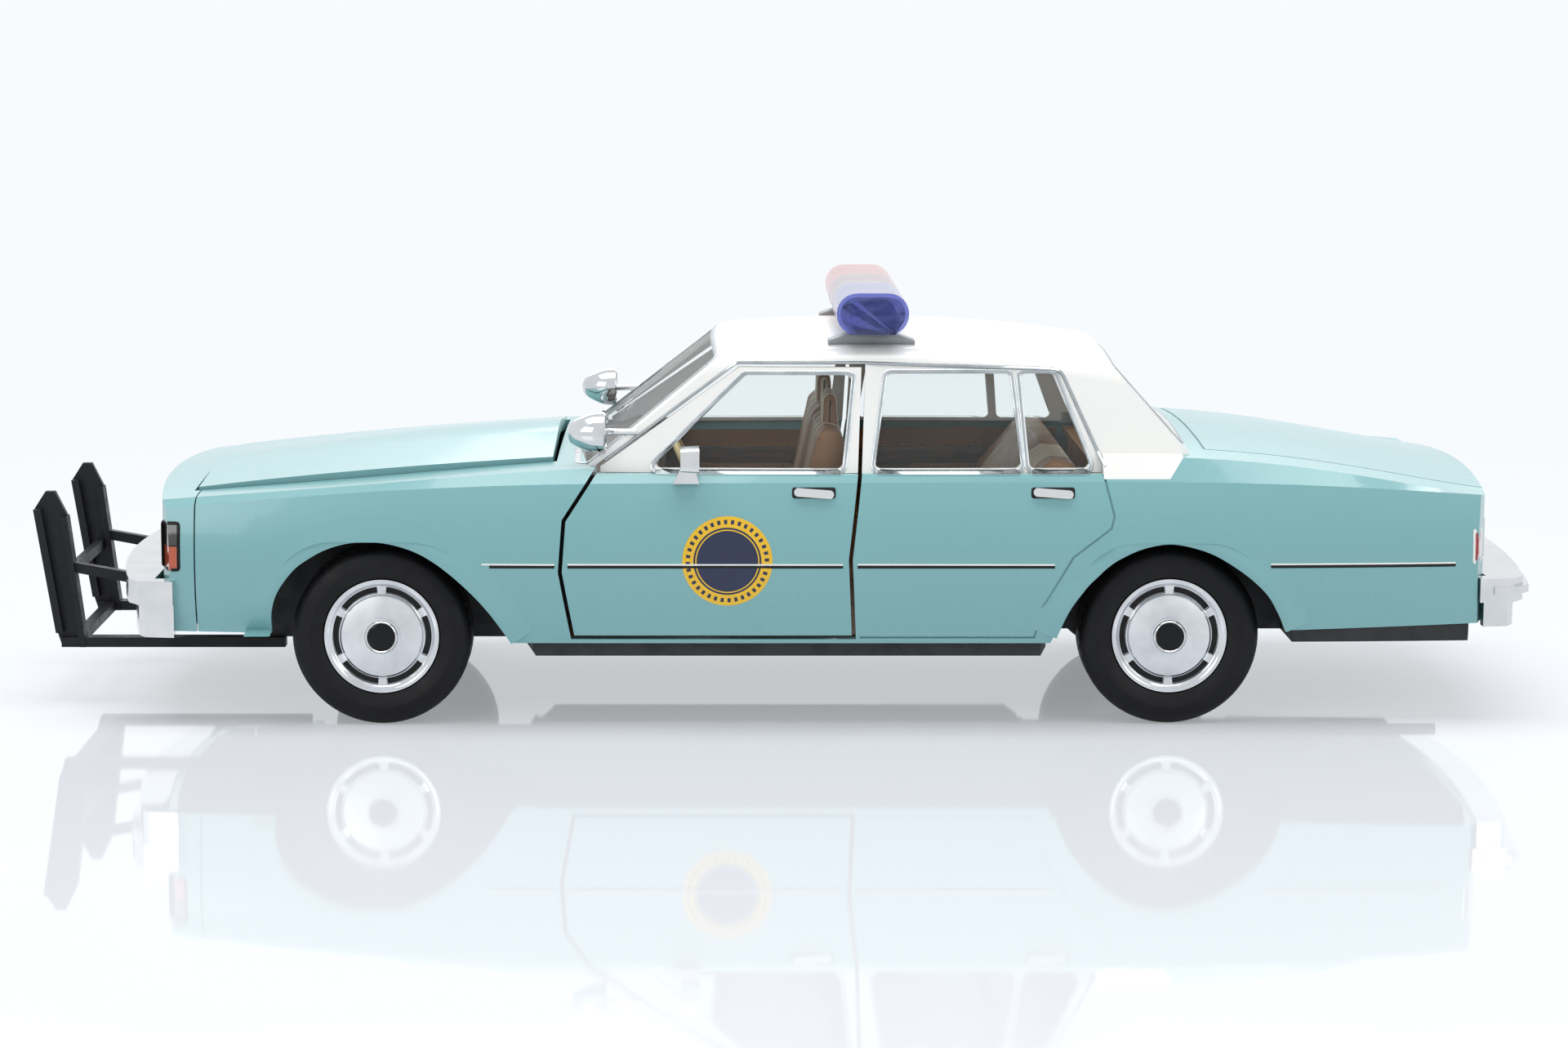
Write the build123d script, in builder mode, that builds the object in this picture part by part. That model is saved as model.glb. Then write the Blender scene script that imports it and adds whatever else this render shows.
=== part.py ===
from build123d import *
import os

# A 1:18 scale model of a four-door police saloon, in millimetres.
# +X points forward, +Y to the car's left and +Z up. The origin lies on the floor, in the middle of
# the car's length. Places along the car are given as the distance behind the front axle.

os.makedirs("parts", exist_ok=True)

# Driving dimensions: overall layout
wheelbase = 163.7
front_overhang = 58.0
rear_overhang = 78.0
push_reach = 17.8
front_track_half = 42.6
rear_track_half = 42.0
tyre_radius = 18.65
tyre_width = 12.5
total_length = push_reach + front_overhang + wheelbase + rear_overhang
front_axle_x = total_length / 2 - push_reach - front_overhang

# Driving dimensions: body
body_wall = 1.6
sill_z = 17.6
waist_z = 36.0
belt_z = 52.8
shut_gap = 0.84
groove_width = 0.45
groove_depth = 0.4
header_seam = -38.2
cowl_line = 36.2
door_thickness = 3.6
card_thickness = 1.0
seat_clearance = 0.3
slip = 0.05

# Driving dimensions: greenhouse
roof_wall = 1.4
glass_thickness = 0.8
glass_setback = 0.4
roof_top_z = 80.2
roof_middle = 102.5
roof_arc_radius = 335.0
roof_side_y = 40.0
roof_side_z = 74.6
belt_side_y = 47.4
roof_edge_radius = 5.0
windscreen_foot = (38.5, 54.0)
windscreen_head = (70.0, 78.0)
windscreen_radius = 360.0
backlight_head = (151.0, 77.0)
backlight_foot = (166.6, 60.0)
backlight_radius = 560.0

# Driving dimensions: running gear
rim_radius = 12.2
cover_radius = 11.85
cover_disc_radius = 8.0
cover_slots = 6
stub_radius = 1.5
running_clearance = 0.06
kingpin_y = 34.2
kingpin_radius = 1.2
chassis_z = 14.4
floor_z = 17.6

# Cross-sections of the body from front to rear. The sides bulge to the waist, lean in to the shoulder
# and fold over to the deck edge, and the top is crowned.
body_sections = [
    # behind, sill_y, waist_y, shoulder_y, edge_y, shoulder_z, edge_z, crown_z
    (-54.0, 44.0, 46.6, 45.2, 42.6, 44.6, 45.8, 47.4),
    (-22.0, 47.6, 51.2, 48.8, 46.3, 47.6, 48.8, 49.8),
    (16.0, 49.6, 52.9, 50.3, 47.8, 50.2, 52.0, 52.9),
    (46.0, 50.0, 53.2, 50.6, 47.8, 51.0, 54.0, 55.6),
    (110.0, 50.0, 53.2, 50.6, 47.5, 51.2, 55.8, 58.4),
    (166.0, 49.9, 53.1, 50.5, 47.2, 51.3, 56.0, 58.2),
    (200.0, 49.2, 52.0, 49.8, 46.6, 50.2, 52.6, 54.9),
    (240.0, 46.4, 48.2, 46.8, 43.6, 47.6, 47.2, 49.4),
]

# The bonnet's own crown, with a ridge each side of its middle.
bonnet_half_width = 37.0
bonnet_ridge_y = 11.0
bonnet_wall = 1.3
bonnet_sections = [
    # behind, edge_z, ridge_z, crown_z
    (-44.0, 47.9, 49.2, 49.4),
    (-22.0, 50.4, 51.9, 52.3),
    (15.0, 53.5, 56.0, 56.5),
    (44.0, 55.3, 57.3, 58.3),
]


def station(behind):
    """X of a place given as its distance behind the front axle."""
    return front_axle_x - behind


def side_prism(points, inner_y, outer_y, corner=0.0, grow=0.0):
    """Prism seen from the side, with its corners as (behind, height), rounded and then grown."""
    with BuildPart() as prism:
        with BuildSketch(Plane.XZ.offset(-outer_y)):
            with BuildLine():
                Polyline(*[(station(behind), z) for behind, z in points], close=True)
            make_face()
            if grow:
                offset(amount=grow, kind=Kind.INTERSECTION)
            if corner:
                fillet(vertices(), corner)
        extrude(amount=outer_y - inner_y)
    return prism.part


def arch_prism(points, inner_y, outer_y):
    """Wheel arch seen from the side: two jambs and a flat top with rounded corners."""
    with BuildPart() as prism:
        with BuildSketch(Plane.XZ.offset(-outer_y)):
            with BuildLine():
                Polyline(*[(station(behind), z) for behind, z in points], close=True)
            make_face()
            fillet(vertices().group_by(Axis.Y)[-1], arch_corner)
        extrude(amount=outer_y - inner_y)
    return prism.part


def plan_prism(points, low_z, high_z, corner=0.0, grow=0.0):
    """Prism seen from above, with its corners as (behind, y), rounded and then grown."""
    with BuildPart() as prism:
        with BuildSketch(Plane.XY.offset(low_z)):
            with BuildLine():
                Polyline(*[(station(behind), y) for behind, y in points], close=True)
            make_face()
            if grow:
                offset(amount=grow, kind=Kind.INTERSECTION)
            if corner:
                fillet(vertices(), corner)
        extrude(amount=high_z - low_z)
    return prism.part


def block(behind_front, behind_rear, low_y, high_y, low_z, high_z):
    """Plain box between two stations, two sides and two heights."""
    return plan_prism(
        [(behind_front, low_y), (behind_rear, low_y), (behind_rear, high_y), (behind_front, high_y)],
        low_z,
        high_z,
    )


def mirrored(part):
    """The same part on the car's right side."""
    return mirror(part, about=Plane.XZ, mode=Mode.PRIVATE)


def save(part, name):
    """Label a finished piece and write its STEP file."""
    part.label = name
    export_step(part, f"parts/{name}.step")


# Body volume: the loft of the sections, with bowed front and rear faces and rounded corners in plan
nose = -48.9
tail = 231.6
nose_corner = -45.6
tail_corner = 229.2
corner_y = 43.5
side_reach = 60.0
corner_back = 6.0


def body_volume(inset, foot_z, drop=None):
    """Outer form of the body, drawn in by inset on its sides and ends and let down by drop on top."""
    drop = inset if drop is None else drop
    with BuildPart() as volume:
        for behind, sill_y, waist_y, shoulder_y, edge_y, shoulder_z, edge_z, crown_z in body_sections:
            sill = (sill_y - inset, sill_z)
            waist = (waist_y - inset, waist_z)
            shoulder = (shoulder_y - inset, shoulder_z - drop / 3)
            edge = (edge_y - inset, edge_z - drop)
            with BuildSketch(Plane.YZ.offset(station(behind))):
                with BuildLine():
                    if foot_z < sill_z:
                        Line((sill[0], foot_z), sill)
                        Line((-sill[0], foot_z), (-sill[0], sill_z))
                    ThreePointArc(sill, waist, shoulder)
                    Line(shoulder, edge)
                    ThreePointArc(edge, (0, crown_z - drop), (-edge[0], edge[1]))
                    Line((-edge[0], edge[1]), (-shoulder[0], shoulder[1]))
                    ThreePointArc((-shoulder[0], shoulder[1]), (-waist[0], waist_z), (-sill[0], sill_z))
                    Line((-sill[0], foot_z), (sill[0], foot_z))
                make_face()
        loft()
        with BuildSketch(Plane.XY):
            front = station(nose_corner) - inset
            rear = station(tail_corner) + inset
            side = corner_y - inset
            with BuildLine():
                ThreePointArc((front, side), (station(nose) - inset, 0), (front, -side))
                Line((front, -side), (front - corner_back, -side_reach))
                Line((front - corner_back, -side_reach), (rear + corner_back, -side_reach))
                Line((rear + corner_back, -side_reach), (rear, -side))
                ThreePointArc((rear, -side), (station(tail) + inset, 0), (rear, side))
                Line((rear, side), (rear + corner_back, side_reach))
                Line((rear + corner_back, side_reach), (front - corner_back, side_reach))
                Line((front - corner_back, side_reach), (front, side))
            make_face()
        extrude(amount=roof_top_z, mode=Mode.INTERSECT)
    return volume.part


# Greenhouse volume: the tumblehome and roof section turned about a far axis across the car, then cut
# by the curved windscreen and rear window
def screen_frame(foot, head, facing):
    """Foot point, direction up the screen and direction into the cabin of a screen."""
    foot_point = Vector(station(foot[0]), 0, foot[1])
    head_point = Vector(station(head[0]), 0, head[1])
    along = (head_point - foot_point).normalized()
    inward = along.cross(Vector(0, facing, 0)).normalized()
    return foot_point, along, inward


def screen_volume(foot, head, radius, inset, facing):
    """Space behind a screen that is bowed to a radius about its length, drawn in by inset."""
    foot_point, along, inward = screen_frame(foot, head, facing)
    half = side_reach
    side = facing * (radius - ((radius - inset) ** 2 - half**2) ** 0.5)
    deep = facing * screen_depth
    with BuildPart() as volume:
        with BuildSketch(Plane(foot_point, x_dir=(0, 1, 0), z_dir=along)):
            with BuildLine():
                ThreePointArc((-half, side), (0, facing * inset), (half, side))
                Polyline((half, side), (half, deep), (-half, deep), (-half, side))
            make_face()
        extrude(amount=screen_depth, both=True)
    return volume.part


def screen_prism(foot, head, facing, foot_half, head_half, low, high, corner, grow=0.0):
    """Prism square to a screen, with the outline of its opening from low to high along it."""
    foot_point, along, inward = screen_frame(foot, head, facing)
    with BuildPart() as prism:
        with BuildSketch(Plane(foot_point, x_dir=(0, 1, 0), z_dir=-inward)):
            with BuildLine():
                Polyline(
                    (-foot_half, facing * low),
                    (foot_half, facing * low),
                    (head_half, facing * high),
                    (-head_half, facing * high),
                    close=True,
                )
            make_face()
            if grow:
                offset(amount=grow, kind=Kind.INTERSECTION)
            fillet(vertices(), corner)
        extrude(amount=screen_reach, both=True)
    return prism.part


def greenhouse_volume(inset):
    """Outer form of the cabin above the belt, drawn in by inset."""
    lean = (belt_side_y - roof_side_y) / (roof_side_z - belt_z)
    side_inset = inset * (1 + lean**2) ** 0.5
    axis_z = roof_top_z - roof_arc_radius
    low_r = belt_z - cabin_foot - axis_z
    low_y = belt_side_y + lean * cabin_foot - side_inset
    top_r = roof_side_z + roof_edge_rise - axis_z - inset
    top_y = roof_side_y - lean * (roof_edge_rise - inset) - side_inset
    start = Plane.YZ.rotated((0, -cabin_half_arc, 0))
    with BuildPart() as volume:
        with BuildSketch(Plane((station(roof_middle), 0, axis_z), (0, 1, 0), start.z_dir)):
            with BuildLine():
                Line((-low_y, low_r), (-top_y, top_r))
                ThreePointArc((-top_y, top_r), (0, roof_arc_radius - inset), (top_y, top_r))
                Line((top_y, top_r), (low_y, low_r))
                Line((low_y, low_r), (-low_y, low_r))
            make_face()
            fillet(vertices().group_by(Axis.Y)[-1], roof_edge_radius - inset)
        turning = Axis((station(roof_middle), 0, axis_z), (0, 1, 0))
        revolve(axis=turning, revolution_arc=2 * cabin_half_arc)
        add(screen_volume(*windscreen, windscreen_radius, inset, 1), mode=Mode.INTERSECT)
        add(screen_volume(*backlight, backlight_radius, inset, -1), mode=Mode.INTERSECT)
    return volume.part


cabin_foot = 16.0
cabin_half_arc = 17.0
roof_edge_rise = 3.0
screen_reach = 8.0
screen_depth = 150.0
windscreen = (windscreen_foot, windscreen_head)
backlight = (backlight_foot, backlight_head)

# Outlines seen from the side, as (behind, height)
door_outline = [
    (45.1, 54.1),
    (38.1, 43.5),
    (37.3, 32.9),
    (39.8, 18.9),
    (98.0, 18.9),
    (97.2, 35.5),
    (99.2, 53.1),
]
frame_outline = [(45.1, 50.0), (45.1, 54.1), (74.2, 74.4), (100.1, 74.4), (99.2, 53.1), (99.2, 50.0)]
front_glass_outline = [(55.2, 53.6), (95.5, 53.6), (97.7, 72.4), (75.8, 72.4)]
rear_glass_outline = [(102.2, 53.6), (132.6, 53.6), (130.4, 72.7), (105.1, 72.7)]
quarter_glass_outline = [(134.4, 53.6), (147.2, 53.6), (139.4, 72.7), (132.6, 72.7)]
sail_outline = [(149.3, 51.9), (163.0, 51.9), (166.4, 56.6), (166.4, 66.0), (149.3, 66.0)]
rear_door_edge = [(149.3, 52.8), (151.4, 44.5), (150.8, 42.0), (143.0, 36.1), (137.0, 25.8), (135.3, 18.9)]
front_arch = [(-22.8, 12.0), (-22.6, 39.0), (14.0, 39.0), (30.8, 12.0)]
rear_arch = [(136.4, 12.0), (147.6, 38.9), (179.0, 38.9), (191.6, 12.0)]
front_foot_cut = [(-60.0, 10.0), (-60.0, 19.5), (-10.0, 19.5), (-10.0, 10.0)]
rear_foot_cut = [(182.0, 10.0), (182.0, 20.2), (240.0, 22.0), (240.0, 10.0)]
arch_corner = 13.0
arch_depth = 27.0
glass_corner = 1.2
side_root = 30.0

body_outer = body_volume(0, sill_z)
body_inner = body_volume(body_wall, sill_z - 10)
body_skin = body_outer - body_volume(groove_depth, sill_z - 10)
cabin_outer = greenhouse_volume(0)
cabin_inner = greenhouse_volume(roof_wall)
above_belt = block(30, 180, -side_reach, side_reach, belt_z, roof_top_z + 5)
sail = side_prism(sail_outline, -side_reach, side_reach)
bonnet_plan = [
    (-39.3, -bonnet_half_width),
    (-39.3, bonnet_half_width),
    (cowl_line - shut_gap / 2, bonnet_half_width),
    (cowl_line - shut_gap / 2, -bonnet_half_width),
]
opening_plan = plan_prism(bonnet_plan, 30, 70, 0, shut_gap / 2)


def groove(points, width):
    """Narrow slot seen from the side that follows a line of points."""
    with BuildPart() as slot:
        with BuildSketch(Plane.XZ.offset(-side_reach)):
            with BuildLine():
                Polyline(*[(station(behind), z) for behind, z in points])
            trace(line_width=width)
        extrude(amount=side_reach - side_root)
    return slot.part


# Body shell: front wings, sills, fixed rear doors, rear wings and boot deck
lid_front = 171.5
lid_half = 37.5
floor_half = 46.6
sill_top = 18.4
lamp_low_z = 34.4
lamp_high_z = 43.4
lamp_inner_y = 21.5
lamp_outer_y = 43.2

with BuildPart() as body_shell:
    add(body_outer)
    add(body_inner, mode=Mode.SUBTRACT)
    add(body_outer & block(28, 139, floor_half, side_reach, sill_z, sill_top))
    add(body_outer & block(28, 139, -side_reach, -floor_half, sill_z, sill_top))
    add(block(-60, header_seam, -side_reach, side_reach, 0, 90), mode=Mode.SUBTRACT)
    add(opening_plan, mode=Mode.SUBTRACT)
    add(cabin_outer & above_belt, mode=Mode.SUBTRACT)
    add(block(44.6, 149.3, -side_reach, side_reach, belt_z, 90), mode=Mode.SUBTRACT)
    add(sail, mode=Mode.SUBTRACT)
    add(side_prism(front_foot_cut, -side_reach, side_reach), mode=Mode.SUBTRACT)
    add(side_prism(rear_foot_cut, -side_reach, side_reach), mode=Mode.SUBTRACT)
    for inner_y, outer_y in ((arch_depth, side_reach), (-side_reach, -arch_depth)):
        add(side_prism(door_outline, inner_y, outer_y, 0, shut_gap / 2), mode=Mode.SUBTRACT)
        add(arch_prism(front_arch, inner_y, outer_y), mode=Mode.SUBTRACT)
        add(arch_prism(rear_arch, inner_y, outer_y), mode=Mode.SUBTRACT)
    for sign in (-1, 1):
        low_y, high_y = sorted((sign * lamp_inner_y, sign * lamp_outer_y))
        add(block(222, 240, low_y, high_y, lamp_low_z, lamp_high_z), mode=Mode.SUBTRACT)
    door_slots = groove(rear_door_edge + [(99.2, 18.9)], groove_width) & body_skin
    add(door_slots, mode=Mode.SUBTRACT)
    add(mirrored(door_slots), mode=Mode.SUBTRACT)
    lid_slots = plan_prism(
        [(lid_front, -lid_half), (250, -lid_half), (250, lid_half), (lid_front, lid_half)],
        45,
        70,
        0,
        groove_width / 2,
    ) - plan_prism(
        [(lid_front, -lid_half), (250, -lid_half), (250, lid_half), (lid_front, lid_half)],
        45,
        70,
        0,
        -groove_width / 2,
    )
    add(lid_slots & body_skin, mode=Mode.SUBTRACT)
save(body_shell.part, "body_shell")

# Header panel: the painted nose between the wings, open for the grille and the lamps
header_gap = 0.3
fascia_low_z = 31.8
fascia_high_z = 44.8
fascia_half = 43.0
corner_low_z = 32.6
corner_high_z = 42.6
corner_back_s = -41.6

with BuildPart() as header_panel:
    add(body_outer)
    add(body_inner, mode=Mode.SUBTRACT)
    add(block(header_seam - header_gap, 300, -side_reach, side_reach, 0, 90), mode=Mode.SUBTRACT)
    add(opening_plan, mode=Mode.SUBTRACT)
    add(side_prism(front_foot_cut, -side_reach, side_reach), mode=Mode.SUBTRACT)
    add(block(-60, -43.9, -fascia_half, fascia_half, fascia_low_z, fascia_high_z), mode=Mode.SUBTRACT)
    for sign in (-1, 1):
        low_y, high_y = sorted((sign * (fascia_half - 1.0), sign * side_reach))
        add(block(-60, corner_back_s, low_y, high_y, corner_low_z, corner_high_z), mode=Mode.SUBTRACT)
save(header_panel.part, "header_panel")

# Corner lamps: wrap-round lenses that fill the corners of the nose
with BuildPart() as corner_lamps:
    for sign in (-1, 1):
        low_y, high_y = sorted((sign * (fascia_half + slip), sign * side_reach))
        add(
            (body_outer - body_inner)
            & block(-60, corner_back_s - slip, low_y, high_y, corner_low_z + slip, corner_high_z - slip)
        )
save(corner_lamps.part, "corner_lamps")

# Bonnet: its own crown and ridges, with a skirt round its underside
skirt_depth = 2.8
skirt_width = 1.2


def bonnet_volume(drop, low_z):
    """Solid under the bonnet's crown, let down by drop, that reaches to low_z."""
    with BuildPart() as volume:
        for behind, edge_z, ridge_z, crown_z in bonnet_sections:
            with BuildSketch(Plane.YZ.offset(station(behind))):
                with BuildLine():
                    Line((-bonnet_half_width - 2, low_z), (bonnet_half_width + 2, low_z))
                    Line((bonnet_half_width + 2, low_z), (bonnet_half_width + 2, edge_z - drop - 0.2))
                    Line(
                        (bonnet_half_width + 2, edge_z - drop - 0.2),
                        (bonnet_ridge_y, ridge_z - drop),
                    )
                    ThreePointArc(
                        (bonnet_ridge_y, ridge_z - drop),
                        (0, crown_z - drop),
                        (-bonnet_ridge_y, ridge_z - drop),
                    )
                    Line(
                        (-bonnet_ridge_y, ridge_z - drop),
                        (-bonnet_half_width - 2, edge_z - drop - 0.2),
                    )
                    Line((-bonnet_half_width - 2, edge_z - drop - 0.2), (-bonnet_half_width - 2, low_z))
                make_face()
        loft()
    return volume.part


with BuildPart() as hood:
    add(bonnet_volume(0, 40))
    add(plan_prism(bonnet_plan, 30, 70, 0, -shut_gap / 2), mode=Mode.INTERSECT)
    add(bonnet_volume(skirt_depth, 30), mode=Mode.SUBTRACT)
    hollow = bonnet_volume(bonnet_wall, 30) & plan_prism(bonnet_plan, 30, 70, 0, -skirt_width - shut_gap / 2)
    add(hollow, mode=Mode.SUBTRACT)
save(hood.part, "hood")

# Roof panel: the white roof with its windscreen, door and rear pillars and the sails of the quarters
screen_openings = {
    "windshield": (*windscreen, 1, 42.4, 34.0, 2.4, 37.4),
    "rear_window": (*backlight, -1, 39.6, 33.6, -1.2, 19.4),
}
screen_corner = 3.0

with BuildPart() as roof_panel:
    add(cabin_outer & above_belt)
    add(body_outer & sail)
    add(cabin_inner, mode=Mode.SUBTRACT)
    add(body_inner & sail, mode=Mode.SUBTRACT)
    for foot, head, facing, foot_half, head_half, low, high in screen_openings.values():
        prism = screen_prism(foot, head, facing, foot_half, head_half, low, high, screen_corner)
        add(prism, mode=Mode.SUBTRACT)
    for outline, corner, grow in (
        (frame_outline, 0, shut_gap / 2),
        (rear_glass_outline, glass_corner, 0),
        (quarter_glass_outline, glass_corner, 0),
    ):
        add(side_prism(outline, side_root, side_reach, corner, grow), mode=Mode.SUBTRACT)
        add(side_prism(outline, -side_reach, -side_root, corner, grow), mode=Mode.SUBTRACT)
save(roof_panel.part, "roof_panel")

# Fixed glass: windscreen, rear window and rear side windows, set back in their openings
glass_layer = greenhouse_volume(glass_setback) - greenhouse_volume(glass_setback + glass_thickness)
for name, (foot, head, facing, foot_half, head_half, low, high) in screen_openings.items():
    with BuildPart() as screen:
        add(glass_layer)
        prism = screen_prism(foot, head, facing, foot_half, head_half, low, high, screen_corner, -slip)
        add(prism, mode=Mode.INTERSECT)
    save(screen.part, name)

with BuildPart() as rear_side_glass:
    for outline in (rear_glass_outline, quarter_glass_outline):
        pane = glass_layer & side_prism(outline, side_root, side_reach, glass_corner, -slip)
        add(pane)
        add(mirrored(pane))
save(rear_side_glass.part, "rear_side_glass")

# Front doors: outer panel, upper frame, glass and inner card, all on one hinge
door_inner = body_volume(door_thickness, sill_z - 10, -door_thickness)
card_inner = body_volume(door_thickness + card_thickness, sill_z - 10, -door_thickness)
card_outline = [(49.0, 50.5), (43.0, 42.0), (42.0, 32.0), (44.0, 22.0), (94.0, 22.0), (93.4, 35.0), (95.0, 50.5)]
card_corner = 2.0
below_belt = block(30, 110, -side_reach, side_reach, 0, belt_z)

with BuildPart() as door_panel:
    add(body_outer & below_belt)
    add(side_prism(door_outline, side_root, side_reach, 0, -shut_gap / 2), mode=Mode.INTERSECT)
    add(door_inner, mode=Mode.SUBTRACT)

with BuildPart() as door_frame:
    add(cabin_outer & above_belt)
    add(cabin_inner, mode=Mode.SUBTRACT)
    add(side_prism(frame_outline, side_root, side_reach, 0, -shut_gap / 2), mode=Mode.INTERSECT)
    add(side_prism(front_glass_outline, side_root, side_reach, glass_corner), mode=Mode.SUBTRACT)

with BuildPart() as door_glass:
    add(glass_layer)
    add(side_prism(front_glass_outline, side_root, side_reach, glass_corner, -slip), mode=Mode.INTERSECT)

with BuildPart() as door_card:
    add(door_inner - card_inner)
    add(side_prism(card_outline, side_root, side_reach, card_corner), mode=Mode.INTERSECT)

for name, piece in (
    ("door_panel", door_panel.part),
    ("door_frame", door_frame.part),
    ("door_glass", door_glass.part),
    ("door_card", door_card.part),
):
    save(piece, f"{name}_left")
    save(mirrored(piece), f"{name}_right")

# Door handles: a chrome bar on each door, on the skin above the waist
handle_z = 49.2
handle_length = 8.2
handle_height = 1.7
handle_thickness = 1.0
front_handle_s = 89.6
rear_handle_s = 138.8


def handle(behind, tilt):
    """Rounded bar laid on the body's skin, its rear end lower by the tilt in degrees."""
    with BuildPart() as bar:
        with BuildSketch(Plane.XZ.offset(-side_reach)):
            with Locations(Location((station(behind), handle_z, 0), (0, 0, 1), tilt)):
                SlotOverall(handle_length, handle_height)
        extrude(amount=side_reach - side_root)
        add(body_volume(-handle_thickness, sill_z), mode=Mode.INTERSECT)
        add(body_outer, mode=Mode.SUBTRACT)
    return bar.part


front_handle = handle(front_handle_s, 4)
save(front_handle, "door_handle_left")
save(mirrored(front_handle), "door_handle_right")
with BuildPart() as rear_handles:
    rear_handle = handle(rear_handle_s, 4)
    add(rear_handle)
    add(mirrored(rear_handle))
save(rear_handles.part, "rear_handles")

# Door mirror, on the left front door only
with BuildPart() as door_mirror:
    with BuildSketch(Plane.XZ.offset(-49.9)):
        with BuildLine():
            Polyline(
                (station(60.6), 51.2),
                (station(66.0), 51.2),
                (station(65.0), 55.2),
                (station(62.6), 55.2),
                close=True,
            )
        make_face()
    extrude(amount=-2.6)
    with BuildSketch(Plane.YZ.offset(station(62.2))):
        with Locations((53.6, 56.4)):
            RectangleRounded(5.6, 4.8, 1.2)
    extrude(amount=-3.8, taper=-4)
    add(body_outer, mode=Mode.SUBTRACT)
save(door_mirror.part, "door_mirror")

# Light bar: a tray on two feet across the roof, with a blue, a clear and a red dome over its lamps
bar_middle = 102.0
bar_half_length = 40.0
bar_tray_low = 80.6
bar_tray_high = 81.7
bar_top_z = 89.3
bar_depth = 15.0
tray_depth = 13.6
bar_clear_half = 12.0
dome_wall = 0.8
dome_corner = 2.6
foot_y = 31.5
foot_width = 5.0
foot_length = 18.2
foot_low = 76.0
beacon_radius = 2.2
beacon_height = 5.2
beacon_places = (-33.0, -22.0, 22.0, 33.0)

with BuildPart() as light_bar_base:
    with BuildSketch(Plane.XY.offset(bar_tray_low)):
        with Locations((station(bar_middle), 0)):
            RectangleRounded(tray_depth, 2 * bar_half_length - 1.0, 2.0)
    extrude(amount=bar_tray_high - bar_tray_low)
    for side in (-1, 1):
        with BuildSketch(Plane.XZ.offset(-side * foot_y - foot_width / 2)):
            with BuildLine():
                Polyline(
                    (station(bar_middle - foot_length / 2), foot_low),
                    (station(bar_middle - foot_length / 2), foot_low + 3.0),
                    (station(bar_middle - 4.6), bar_tray_high),
                    (station(bar_middle + 4.6), bar_tray_high),
                    (station(bar_middle + foot_length / 2), foot_low + 3.0),
                    (station(bar_middle + foot_length / 2), foot_low),
                    close=True,
                )
            make_face()
        extrude(amount=foot_width)
    add(cabin_outer, mode=Mode.SUBTRACT)
save(light_bar_base.part, "light_bar_base")

for name, low_y, high_y in (
    ("dome_blue", bar_clear_half, bar_half_length),
    ("dome_clear", -bar_clear_half, bar_clear_half),
    ("dome_red", -bar_half_length, -bar_clear_half),
):
    with BuildPart() as dome:
        with BuildSketch(Plane.XZ.offset(-high_y)):
            with Locations((station(bar_middle), (bar_tray_high + bar_top_z) / 2)):
                Rectangle(bar_depth, bar_top_z - bar_tray_high)
            fillet(vertices().group_by(Axis.Y)[-1], dome_corner)
        extrude(amount=high_y - low_y)
        offset(amount=-dome_wall, openings=faces().sort_by(Axis.Z)[0])
    save(dome.part, name)

with BuildPart() as beacons:
    with BuildSketch(Plane.XY.offset(bar_tray_high)):
        with Locations(*[(station(bar_middle), y) for y in beacon_places]):
            Circle(beacon_radius)
    extrude(amount=beacon_height)
    with BuildSketch(Plane.XY.offset(bar_tray_high)):
        with Locations((station(bar_middle - 3.0), 0), (station(bar_middle + 3.0), 0)):
            Rectangle(3.0, 12.0)
    extrude(amount=beacon_height - 1.0)
save(beacons.part, "beacons")

# Spotlights: a bullet-shaped lamp outside each windscreen pillar, on a stem from the pillar
spot_s = 42.5
spot_y = 44.2
spot_z = 60.8
spot_radius = 4.3
spot_length = 7.6
stem_radius = 0.7
stem_end_s = 53.0
stem_end_y = 43.4

with BuildPart() as spotlights:
    with BuildSketch(Plane.XZ.offset(-spot_y)):
        with BuildLine():
            Spline(
                (station(spot_s) + spot_length / 2, spot_z),
                (station(spot_s) + spot_length / 5, spot_z + 0.72 * spot_radius),
                (station(spot_s) - spot_length / 2 + 1.0, spot_z + spot_radius),
                tangents=((0, 1), (-1, 0)),
            )
            Polyline(
                (station(spot_s) - spot_length / 2 + 1.0, spot_z + spot_radius),
                (station(spot_s) - spot_length / 2, spot_z + spot_radius),
                (station(spot_s) - spot_length / 2, spot_z),
                (station(spot_s) + spot_length / 2, spot_z),
            )
        make_face()
    revolve(axis=Axis((station(spot_s), spot_y, spot_z), (1, 0, 0)))
    stem_start = Vector(station(spot_s) - spot_length / 2 + 0.8, spot_y - 2.0, spot_z)
    stem_end = Vector(station(stem_end_s), stem_end_y, spot_z)
    with BuildSketch(Plane(stem_start, z_dir=stem_end - stem_start)):
        Circle(stem_radius)
    extrude(amount=(stem_end - stem_start).length)
    add(cabin_outer, mode=Mode.SUBTRACT)
    mirror(about=Plane.XZ)
save(spotlights.part, "spotlights")

# Grille: an upright frame with a close lattice of bars, in the middle of the nose
grille_half = 21.5
grille_back = -45.0
grille_frame = 1.2
grille_bar = 0.45
grille_columns = 22
grille_rows = 6

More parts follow.
